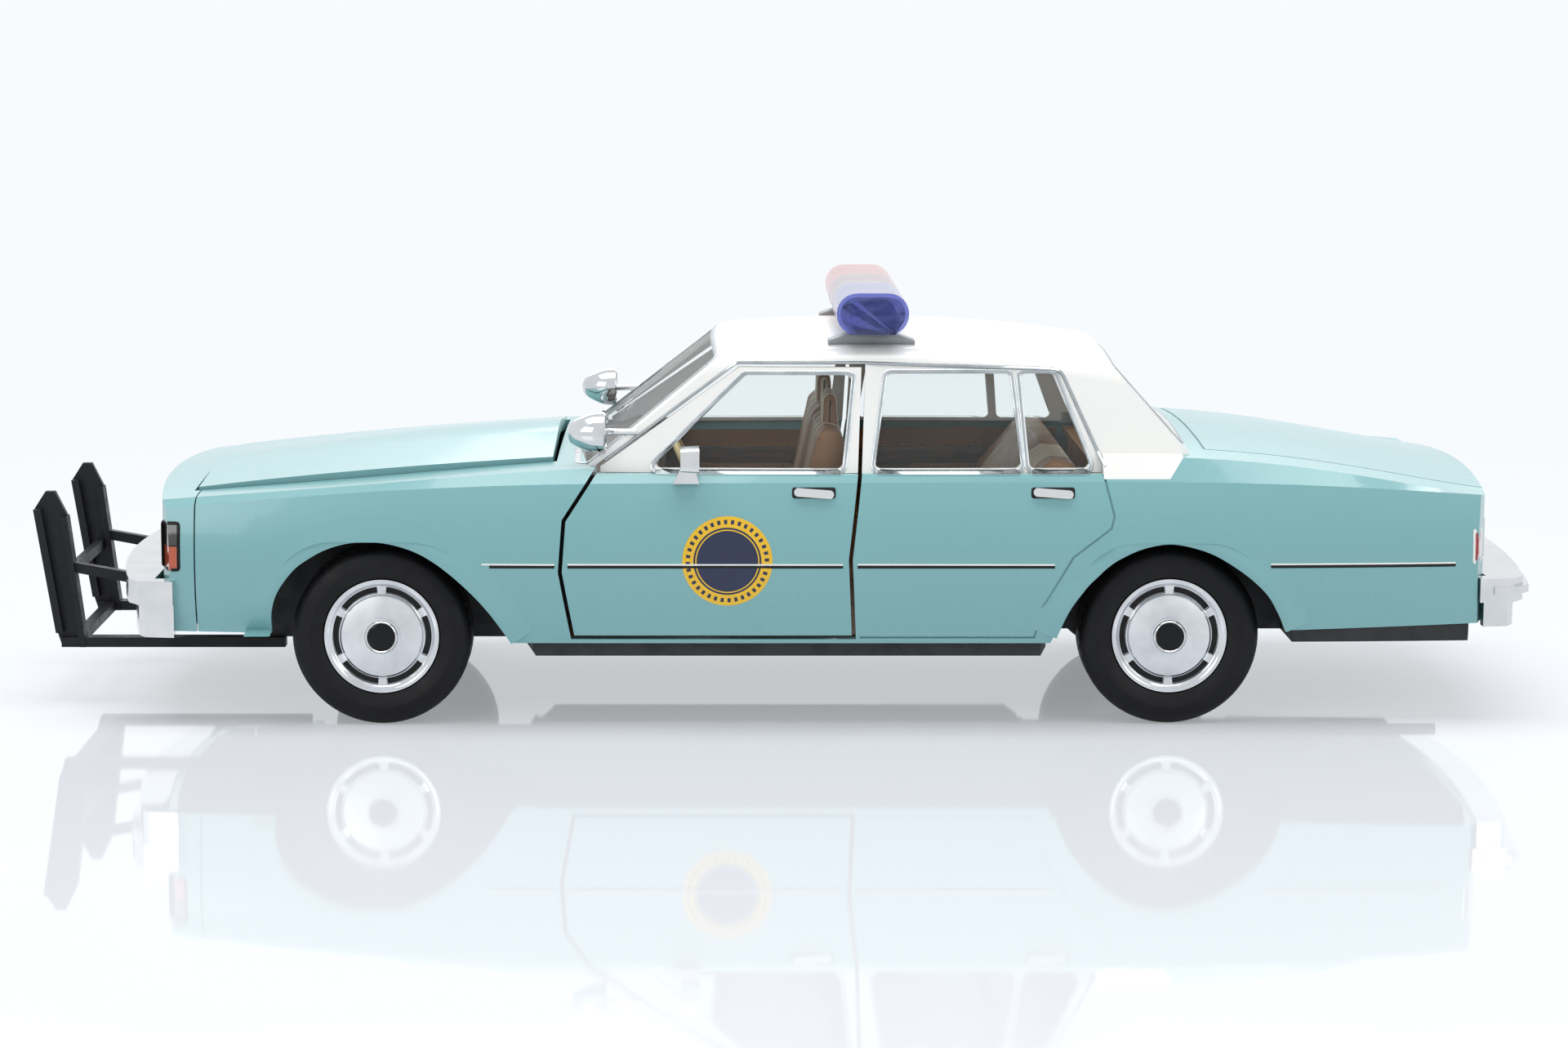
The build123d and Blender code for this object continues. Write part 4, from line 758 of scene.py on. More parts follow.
class Bench:
    """Modelling moves that every sub-assembly uses."""

    @staticmethod
    def clear() -> None:
        """Deselect everything."""
        if bpy.context.object is not None and bpy.context.object.mode != "OBJECT":
            bpy.ops.object.mode_set(mode="OBJECT")
        bpy.ops.object.select_all(action="DESELECT")

    @staticmethod
    def take(piece: Object) -> None:
        """Select one object alone.

        Args:
            piece: The object.
        """
        Bench.clear()
        piece.select_set(True)
        bpy.context.view_layer.objects.active = piece

    @staticmethod
    def modify(piece: Object, kind: str, **settings: object) -> None:
        """Add a modifier with its settings and apply it.

        Args:
            piece: Object to change.
            kind: Modifier type.
            **settings: Its properties.
        """
        Bench.take(piece)
        modifier = piece.modifiers.new(kind.title(), kind)
        for key, value in settings.items():
            setattr(modifier, key, value)
        bpy.ops.object.modifier_apply(modifier=modifier.name)

    @staticmethod
    def choose(piece: Object, faces: Sequence[int]) -> None:
        """Open edit mode with some faces selected alone.

        Args:
            piece: Object to edit.
            faces: Numbers of the faces.
        """
        Bench.take(piece)
        bpy.ops.object.mode_set(mode="EDIT")
        bpy.ops.mesh.select_mode(type="FACE")
        bpy.ops.mesh.select_all(action="DESELECT")
        bpy.ops.object.mode_set(mode="OBJECT")
        for index in faces:
            piece.data.polygons[index].select = True
        bpy.ops.object.mode_set(mode="EDIT")

    @staticmethod
    def close() -> None:
        """Leave edit mode, back at picking points."""
        bpy.ops.mesh.select_mode(type="VERT")
        bpy.ops.object.mode_set(mode="OBJECT")


    @staticmethod
    def weave(name: str, rows: Sequence[Sequence[Vector]], wrap: bool = True, loop: bool = False) -> Object:
        """Shape a grid by rows of points, close its seam and fill its ends.

        Args:
            name: Name of the piece.
            rows: Rows of points, all of one length.
            wrap: Whether each row closes on itself.
            loop: Whether the last row meets the first.

        Returns:
            The piece.
        """
        across = len(rows[0]) + (1 if wrap else 0)
        down = len(rows) + (1 if loop else 0)
        Bench.clear()
        bpy.ops.mesh.primitive_grid_add(x_subdivisions=across - 1, y_subdivisions=down - 1, size=0.01)
        piece = bpy.context.object
        piece.name = name
        for j in range(down):
            row = rows[j % len(rows)]
            for i in range(across):
                piece.data.vertices[j * across + i].co = row[i % len(row)]
        piece.location = (0, 0, 0)
        Bench.tidy(piece)
        return piece

    @staticmethod
    def tidy(piece: Object) -> None:
        """Merge doubles, fill open ends and point the faces outwards.

        Args:
            piece: Object to tidy.
        """
        Bench.take(piece)
        bpy.ops.object.mode_set(mode="EDIT")
        bpy.ops.mesh.select_mode(type="VERT")
        bpy.ops.mesh.select_all(action="SELECT")
        bpy.ops.mesh.remove_doubles(threshold=2e-6)
        bpy.ops.mesh.dissolve_degenerate(threshold=1e-7)
        bpy.ops.mesh.select_all(action="SELECT")
        bpy.ops.mesh.fill_holes(sides=0)
        bpy.ops.mesh.select_all(action="SELECT")
        bpy.ops.mesh.normals_make_consistent(inside=False)
        bpy.ops.object.mode_set(mode="OBJECT")

    @staticmethod
    def block(name: str, low: Vector, high: Vector, edge: float = 0.2, segments: int = 2) -> Object:
        """Bevelled block between two corners.

        Args:
            name: Name of the piece.
            low: Lowest corner.
            high: Highest corner.
            edge: Edge radius in millimetres.
            segments: Segments of the bevel.

        Returns:
            The piece.
        """
        Bench.clear()
        bpy.ops.mesh.primitive_cube_add(size=1, location=(0, 0, 0))
        piece = bpy.context.object
        piece.name = name
        for vertex in piece.data.vertices:
            vertex.co = [(low[k] if vertex.co[k] < 0 else high[k]) for k in range(3)]
        Bench.tidy(piece)
        Bench.modify(piece, "BEVEL", width=edge * MM, segments=segments, limit_method="ANGLE")
        return piece

    @staticmethod
    def turned(
        name: str, profile: Sequence[Point], centre: Vector, axis: Vector, up: Vector, steps: int = 48
    ) -> Object:
        """Spin a closed profile round an axis.

        Args:
            name: Name of the piece.
            profile: Corners as (radius, distance along the axis) in millimetres.
            centre: Point of the axis.
            axis: Direction of the axis.
            up: Direction in which the profile's radius is drawn.
            steps: Steps round the turn.

        Returns:
            The piece.
        """
        Bench.clear()
        bpy.ops.mesh.primitive_circle_add(vertices=len(profile), radius=0.01, fill_type="NOTHING")
        piece = bpy.context.object
        piece.name = name
        for vertex, (radius, along) in zip(piece.data.vertices, profile):
            vertex.co = centre + (up * radius + axis * along) * MM
        Bench.take(piece)
        bpy.ops.object.mode_set(mode="EDIT")
        bpy.ops.mesh.select_all(action="SELECT")
        bpy.ops.mesh.spin(steps=steps, angle=2 * math.pi, center=centre, axis=axis)
        bpy.ops.object.mode_set(mode="OBJECT")
        Bench.tidy(piece)
        return piece

    @staticmethod
    def wire(
        name: str, points: Sequence[Vector], radius: float, closed: bool = False, sides: int = 3
    ) -> Object:
        """Round bar along a smooth line of points.

        Args:
            name: Name of the piece.
            points: Control points of the line.
            radius: Radius of the bar in millimetres.
            closed: Whether the line closes.
            sides: Resolution of the round section.

        Returns:
            The piece.
        """
        curve = bpy.data.curves.new(name, "CURVE")
        curve.dimensions = "3D"
        spline = curve.splines.new("NURBS")
        spline.points.add(len(points) - 1)
        for spot, place in zip(spline.points, points):
            spot.co = (*place, 1.0)
        spline.order_u = 3
        spline.use_endpoint_u = not closed
        spline.use_cyclic_u = closed
        curve.bevel_depth = radius * MM
        curve.bevel_resolution = sides
        curve.resolution_u = 6
        curve.use_fill_caps = True
        piece = bpy.data.objects.new(name, curve)
        bpy.context.collection.objects.link(piece)
        Bench.take(piece)
        bpy.ops.object.convert(target="MESH")
        piece = bpy.context.object
        Bench.tidy(piece)
        return piece

    @staticmethod
    def ribbon(
        name: str,
        pane: Pane,
        skin: Skin | None,
        path: Sequence[Point],
        width: float,
        proud: float,
        closed: bool = False,
        sink: float = 0.2,
        step: float = 3.0,
    ) -> Object:
        """Crowned strip that lies on a skin along a path.

        Args:
            name: Name of the piece.
            pane: Plane that the path is drawn in.
            skin: Surface that carries the strip.
            path: Middle line of the strip.
            width: Width of the strip in millimetres.
            proud: Its height over the skin.
            closed: Whether the path closes.
            sink: Its depth under the skin.
            step: Longest run between sections.

        Returns:
            The piece.
        """
        line = divided(path, step, closed)
        section = (
            (-0.5, -sink), (-0.5, proud * 0.5), (-0.3, proud), (0.3, proud), (0.5, proud * 0.5), (0.5, -sink),
        )
        rows = []
        last = 0.0
        for (a, b), (across, up) in zip(line, sideways(line, closed)):
            spots = [(a + across * share * width, b + up * share * width, lift) for share, lift in section]
            found = [pane.height(skin, p, q) for p, q, _ in spots]
            # where one edge hangs over an opening, it takes the height of the edge that is carried
            known = [h for h in found if h is not None]
            last = sum(known) / len(known) if known else last
            held = [last if h is None else h for h in found]
            rows.append([pane.point(p, q, h + lift) for h, (p, q, lift) in zip(held, spots)])
        return Bench.weave(name, rows, wrap=True, loop=closed)

    @staticmethod
    def mound(
        name: str,
        pane: Pane,
        skin: Skin | None,
        outline: Sequence[Point],
        levels: Sequence[Point],
        step: float = 2.0,
    ) -> Object:
        """Pad, plate or lens made of an outline drawn in towards its middle.

        Args:
            name: Name of the piece.
            pane: Plane of the outline.
            skin: Surface that carries it, or None.
            outline: Closed outline.
            levels: Pairs of scale and height, from the foot to the middle.
            step: Longest run on the outline.

        Returns:
            The piece.
        """
        line = divided(outline, step, True)
        mid_a = sum(p[0] for p in line) / len(line)
        mid_b = sum(p[1] for p in line) / len(line)
        rows = [
            [pane.on(skin, mid_a + (a - mid_a) * scale, mid_b + (b - mid_b) * scale, lift) for a, b in line]
            for scale, lift in levels
        ]
        return Bench.weave(name, rows)

    @staticmethod
    def join(name: str, pieces: Sequence[Object]) -> Object:
        """Join pieces into one.

        Args:
            name: Name of the result.
            pieces: Pieces to join.

        Returns:
            The joined piece.
        """
        Bench.clear()
        for piece in pieces:
            piece.select_set(True)
        bpy.context.view_layer.objects.active = pieces[0]
        if len(pieces) > 1:
            bpy.ops.object.join()
        pieces[0].name = name
        return pieces[0]

    @staticmethod
    def dress(piece: Object, stuff: Stuff, body: str, slot: str, smooth: float = 35.0) -> Object:
        """Give a finished piece its material and its body.

        Args:
            piece: Finished piece.
            stuff: Its finish.
            body: CAD body that carries it.
            slot: Material slot of the record; not used.
            smooth: Angle in degrees up to which edges are smooth.

        Returns:
            The piece.
        """
        piece.data.materials.clear()
        piece.data.materials.append(material(stuff))
        Bench.take(piece)
        bpy.ops.object.shade_smooth_by_angle(angle=math.radians(smooth))
        for modifier in list(piece.modifiers):
            bpy.ops.object.modifier_apply(modifier=modifier.name)
        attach(piece, body)
        LOG.info("%s rides on %s, %d faces", piece.name, body, len(piece.data.polygons))
        return piece


def box_outline(a0: float, a1: float, b0: float, b1: float, radius: float, steps: int = 4) -> Path:
    """Rounded rectangle between two corners."""
    return rounded([(a0, b0), (a1, b0), (a1, b1), (a0, b1)], radius, steps)


def circle_outline(a: float, b: float, radius: float, count: int = 40) -> Path:
    """Circle as a closed outline."""
    return [
        (a + radius * math.cos(2 * math.pi * k / count), b + radius * math.sin(2 * math.pi * k / count))
        for k in range(count)
    ]


def grown(corners: Sequence[Point], by: float) -> Path:
    """Move the four corners of an opening outwards.

    Args:
        corners: The two low corners and then the two high ones, in turn round the opening.
        by: Millimetres that each corner moves in each direction.

    Returns:
        The larger outline.
    """
    signs = ((-1, -1), (1, -1), (1, 1), (-1, 1))
    return [(a + p * by, b + q * by) for (a, b), (p, q) in zip(corners, signs)]


@dataclass(frozen=True)
class Flank:
    """A face of the car with the plane and the skin that its trim is laid on."""

    side: str
    pane: Pane
    shell: Skin | None

    def body(self, on_door: bool) -> str:
        """Body that carries a piece of this face."""
        return f"{self.side}_door" if on_door else "car"

    def strip(
        self,
        name: str,
        path: Sequence[Point],
        size: Point,
        stuff: Stuff,
        slot: str,
        on_door: bool = False,
        closed: bool = False,
        step: float = 3.0,
    ) -> None:
        """Lay a strip and dress it.

        Args:
            name: Name of the piece without its side.
            path: Middle line of the strip.
            size: Its width and its height over the skin.
            stuff: Its finish.
            slot: Material slot of the record.
            on_door: Whether it is on the front door.
            closed: Whether the path closes.
            step: Longest run between sections.
        """
        width, proud = size
        piece = Bench.ribbon(
            f"{name}_{self.side}", self.pane, self.shell, path, width, proud, closed, step=step
        )
        Bench.dress(piece, stuff, self.body(on_door), slot)

    def plate(
        self,
        name: str,
        outline: Sequence[Point],
        levels: Sequence[Point],
        stuff: Stuff,
        slot: str,
        on_door: bool = False,
        step: float = 2.0,
    ) -> None:
        """Lay a plate, pad or lens and dress it.

        Args:
            name: Name of the piece without its side.
            outline: Closed outline.
            levels: Pairs of scale and height, from the foot to the middle.
            stuff: Its finish.
            slot: Material slot of the record.
            on_door: Whether it is on the front door.
            step: Longest run on the outline.
        """
        piece = Bench.mound(f"{name}_{self.side}", self.pane, self.shell, outline, levels, step)
        Bench.dress(piece, stuff, self.body(on_door), slot)



@dataclass
class PaintShop:
    """Gives every CAD node its finish."""

    nodes: dict[Stuff, tuple[str, ...]] = field(
        default_factory=lambda: {
            Stuff.BODY_ENAMEL: ("body_shell", "header_panel", "hood", "door_panel_left", "door_panel_right"),
            Stuff.ROOF_ENAMEL: ("roof_panel", "door_frame_left", "door_frame_right"),
            Stuff.PANE: (
                "windshield", "rear_window", "rear_side_glass", "door_glass_left", "door_glass_right",
            ),
            Stuff.CHROME: (
                "front_bumper", "rear_bumper", "grille", "headlamp_bezels", "spotlights", "door_mirror",
                "door_handle_left", "door_handle_right", "rear_handles",
            ),
            Stuff.LENS_CLEAR: ("headlamps",),
            Stuff.LENS_AMBER: ("corner_lamps",),
            Stuff.LENS_RED: ("tail_lamps",),
            Stuff.DOME_BLUE: ("dome_blue",),
            Stuff.DOME_RED: ("dome_red",),
            Stuff.DOME_CLEAR: ("dome_clear",),
            Stuff.BAR_GREY: ("light_bar_base",),
            Stuff.MIRROR: ("beacons",),
            Stuff.BLACK: ("push_bumper",),
            Stuff.UNDERSIDE: (
                "chassis", "engine_bay", "inner_wings", "firewall", "radiator_support",
                "front_axle", "rear_axle", "knuckle_left", "knuckle_right",
            ),
            Stuff.ENGINE: ("engine", "exhaust"),
            Stuff.RUBBER: ("tyre_front_left", "tyre_front_right", "tyre_rear_left", "tyre_rear_right"),
            Stuff.COVER_FRONT: ("rim_front_left", "rim_front_right"),
            Stuff.COVER_REAR: ("rim_rear_left", "rim_rear_right"),
            Stuff.TAN: ("door_card_left", "door_card_right", "floor_tub"),
            Stuff.SEAT: ("front_seats",),
            Stuff.BENCH: ("rear_seat",),
            Stuff.DASH: ("dashboard",),
            Stuff.IVORY: ("steering_wheel",),
        }
    )

    def build(self) -> None:
        """Assign the finishes."""
        for stuff, names in self.nodes.items():
            for name in names:
                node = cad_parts[name]
                for slot in node.material_slots:
                    slot.material = material(stuff)
                if not node.material_slots:
                    node.data.materials.append(material(stuff))
                LOG.info("%s finished in %s", name, stuff.value.name)


@dataclass
class SideTrim:
    """Mouldings, decals, window surrounds and lamps on the two sides."""

    # name, front end, rear end, and whether it is on the front door
    runs: tuple[tuple[str, float, float, bool], ...] = (
        ("wing", 21.2, 36.2, False),
        ("door", 38.9, 95.6, True),
        ("rear_door", 98.6, 139.2, False),
        ("rear_wing", 183.7, 222.2, False),
    )
    black_z: float = 34.05
    black_size: Point = (0.62, 0.08)
    wing_set_back: float = 1.6
    white_z: float = 34.5
    white_rise: float = 0.05
    white_size: Point = (0.34, 0.1)
    decal: tuple[float, float, float] = (71.8, 35.2, 9.3)
    decal_levels: tuple[Point, ...] = (
        (1.0, -0.03), (1.0, 0.05), (0.9, 0.06), (0.75, 0.06), (0.55, 0.06), (0.35, 0.06), (0.15, 0.06),
    )
    # name, corners of the opening from its low front one round, and whether it is on the front door
    windows: tuple[tuple[str, tuple[Point, ...], bool], ...] = (
        ("front", ((55.2, 53.6), (95.5, 53.6), (97.7, 72.4), (75.8, 72.4)), True),
        ("rear", ((102.2, 53.6), (132.6, 53.6), (130.4, 72.7), (105.1, 72.7)), False),
        ("quarter", ((134.4, 53.6), (147.2, 53.6), (139.4, 72.7), (132.6, 72.7)), False),
    )
    surround_size: Point = (0.95, 0.22)
    surround_corner: float = 1.4
    rail: tuple[Point, ...] = ((46.5, 55.2), (73.6, 74.9), (100.0, 74.9), (141.0, 73.6), (149.6, 54.6))
    rail_corner: float = 3.0
    rail_size: Point = (0.7, 0.35)
    marker_frame_levels: tuple[Point, ...] = ((1.0, -0.2), (1.0, 0.1), (0.96, 0.16), (0.5, 0.16))
    marker_levels: tuple[Point, ...] = ((1.0, 0.0), (1.0, 0.2), (0.86, 0.32), (0.4, 0.36))
    # name, middle of the handle, and whether it is on the front door
    handles: tuple[tuple[str, float, bool], ...] = (("front", 89.6, True), ("rear", 138.8, False))
    handle_half: float = 4.5
    handle_levels: tuple[Point, ...] = ((1.0, -0.15), (1.0, 0.06), (0.9, 0.08), (0.4, 0.08))

    def build(self) -> None:
        """Build both sides."""
        for sign, side in SIDES:
            shell = Skin(
                "body_shell", "header_panel", f"door_panel_{side}", "roof_panel", f"door_frame_{side}"
            )
            flank = Flank(side, side_pane(sign), shell)
            self.mouldings(flank)
            a, b, radius = self.decal
            disc = circle_outline(a, b, radius, 64)
            flank.plate("door_decal", disc, self.decal_levels, Stuff.DECAL, "body_paint", True, 9.0)
            self.surrounds(flank)
            self.markers(flank)
            self.painted_handle_shades(flank)

    def mouldings(self, flank: Flank) -> None:
        """Lay the white and black mouldings.

        Args:
            flank: Side of the car.
        """
        for name, start, end, on_door in self.runs:
            set_back = self.wing_set_back if name == "wing" else 0.0
            line = [(start + set_back, self.black_z), (end, self.black_z)]
            flank.strip(f"moulding_{name}", line, self.black_size, Stuff.BLACK, "black_plastic", on_door)
            line = [(start, self.white_z + self.white_rise), (end, self.white_z)]
            flank.strip(
                f"moulding_line_{name}", line, self.white_size, Stuff.WHITE_LINE, "roof_paint", on_door
            )

    def surrounds(self, flank: Flank) -> None:
        """Run the plated trims round the side windows and under the roof.

        Args:
            flank: Side of the car.
        """
        for name, corners, on_door in self.windows:
            line = rounded(grown(corners, self.surround_size[0] / 2), self.surround_corner)
            flank.strip(
                f"surround_{name}", line, self.surround_size, Stuff.TRIM, "chrome_plate", on_door, True
            )
        gutter = Flank(flank.side, flank.pane, Skin("roof_panel"))
        line = rounded(self.rail, self.rail_corner, 5, False)
        gutter.strip("drip_rail", line, self.rail_size, Stuff.TRIM, "chrome_plate")

    def markers(self, flank: Flank) -> None:
        """Set the red marker with its white frame into the rear wing.

        Args:
            flank: Side of the car.
        """
        edge = box_outline(225.8, 228.6, 34.2, 41.4, 0.5)
        flank.plate("side_marker_frame", edge, self.marker_frame_levels, Stuff.WHITE_LINE, "chrome_plate")
        lens = box_outline(226.3, 228.1, 34.9, 40.7, 0.3)
        flank.plate("side_marker", lens, self.marker_levels, Stuff.LENS_RED, "lens_red")

    def painted_handle_shades(self, flank: Flank) -> None:
        """Lay a flat black pad behind each handle: painted shade that stands for the handle's recess.

        Args:
            flank: Side of the car.
        """
        for name, middle, on_door in self.handles:
            outline = box_outline(middle - self.handle_half, middle + self.handle_half, 48.1, 50.3, 0.6)
            # painted shade: a flat black pad where the uncut recess would lie in shadow
            flank.plate(
                f"handle_seat_{name}", outline, self.handle_levels, Stuff.BLACK, "black_plastic", on_door
            )


@dataclass
class ArchLips:
    """Raised lips that round the wheel arches off to their true curve."""

    arches: tuple[tuple[str, tuple[Point, ...]], ...] = (
        ("front", (
            (-22.7, 19.5), (-22.6, 24.0), (-21.2, 28.4), (-17.8, 33.0), (-14.3, 35.6), (-10.8, 37.4),
            (-6.6, 38.6), (-2.4, 38.9), (1.7, 38.6), (6.6, 37.3), (10.8, 35.2), (15.0, 32.1),
            (19.2, 28.2), (22.6, 24.3), (25.4, 20.3), (27.1, 17.6),
        )),
        ("rear", (
            (139.9, 18.8), (142.2, 24.4), (145.0, 28.6), (148.5, 32.4), (152.0, 35.2), (156.2, 37.3),
            (160.4, 38.4), (163.9, 38.6), (168.1, 37.8), (172.3, 36.3), (176.5, 33.8), (180.0, 31.2),
            (183.3, 27.9), (185.5, 24.2), (186.9, 21.2), (187.4, 20.1),
        )),
    )
    section: tuple[Point, ...] = (
        (0.0, -1.0), (0.0, 0.14), (0.5, 0.34), (1.3, 0.4), (2.2, 0.28), (3.2, 0.1), (5.4, 0.015), (5.4, -0.4),
    )
    widest: float = 53.2
    first_height: float = 52.5
    foot_reach: float = 6.0
    blend_from: float = 5.0

    def build(self) -> None:
        """Build the lips of both sides."""
        for sign, side in SIDES:
            pane = side_pane(sign)
            skin = Skin("body_shell", f"door_panel_{side}")
            for name, points in self.arches:
                line = self.curve(points)
                rows = []
                last = self.first_height
                far = self.section[-1][0]
                for (a, b), (across, up) in zip(line, sideways(line, False)):
                    found = pane.height(skin, a + across * self.foot_reach, b + up * self.foot_reach)
                    last = last if found is None else found
                    edge = pane.height(skin, a + across * far, b + up * far)
                    row = []
                    for reach, lift in self.section:
                        base = last if reach < self.blend_from or edge is None else edge
                        height = min(base + lift, self.widest)
                        row.append(pane.point(a + across * reach, b + up * reach, height))
                    rows.append(row)
                lip = Bench.weave(f"arch_lip_{name}_{side}", rows)
                Bench.dress(lip, Stuff.BODY_ENAMEL, "car", "body_paint", 50)

    @staticmethod
    def curve(points: Sequence[Point]) -> Path:
        """Smooth line through points, by Catmull-Rom pieces.

        Args:
            points: Points of the line.

        Returns:
            The line with four steps to a piece.
        """
        path: Path = []
        for i in range(len(points) - 1):
            before, first = Vector(points[max(i - 1, 0)]), Vector(points[i])
            second, after = Vector(points[i + 1]), Vector(points[min(i + 2, len(points) - 1)])
            for k in range(4):
                t = k / 4
                spot = first * 2 + (second - before) * t
                spot += (before * 2 - first * 5 + second * 4 - after) * t**2
                spot += (first * 3 - before - second * 3 + after) * t**3
                path.append((spot.x / 2, spot.y / 2))
        return path + [points[-1]]


@dataclass
class ScreenTrim:
    """Plated surrounds of the two screens, and the wipers."""

    width: float = 1.1
    proud: float = 0.2
    corner: float = 3.4
    # name, plane, half width and height of the foot, and half width and height of the head
    screens: tuple[tuple[str, Pane, float, float, float, float], ...] = (
        ("windscreen", SCREEN, 42.4, 2.4, 34.0, 37.4),
        ("rear_screen", BACKLIGHT, 39.6, -1.2, 33.6, 19.4),
    )
    # name, place of the pivot and place of the blade's tip
    wipers: tuple[tuple[str, float, float], ...] = (("left", 24.0, 2.0), ("right", -8.0, -30.0))
    blade_size: Point = (0.6, 0.7)
    arm_radius: float = 0.3

    def build(self) -> None:
        """Build the surrounds and the wipers."""
        roof = Skin("roof_panel", "body_shell")
        for name, pane, foot_half, low, head_half, high in self.screens:
            corners = [(-foot_half, low), (foot_half, low), (head_half, high), (-head_half, high)]
            line = rounded(grown(corners, self.width / 2), self.corner)
            strip = Bench.ribbon(f"{name}_surround", pane, roof, line, self.width, self.proud, True)
            Bench.dress(strip, Stuff.TRIM, "car", "chrome_plate")
        glass = Skin("windshield")
        for name, foot, tip in self.wipers:
            middle = (foot + tip) / 2
            line = [(tip, 6.0), (middle, 4.6), (foot - 2, 4.2)]
            blade = Bench.ribbon(f"wiper_blade_{name}", SCREEN, glass, line, *self.blade_size, False, 0.0)
            Bench.dress(blade, Stuff.BLACK, "car", "black_plastic")
            reach = ((foot, 2.9, 0.5), (middle + 4, 4.2, 1.2), (middle, 5.0, 0.8))
            points = [SCREEN.on(glass, *spot) for spot in reach]
            arm = Bench.wire(f"wiper_arm_{name}", points, self.arm_radius)
            Bench.dress(arm, Stuff.BLACK, "car", "black_plastic")


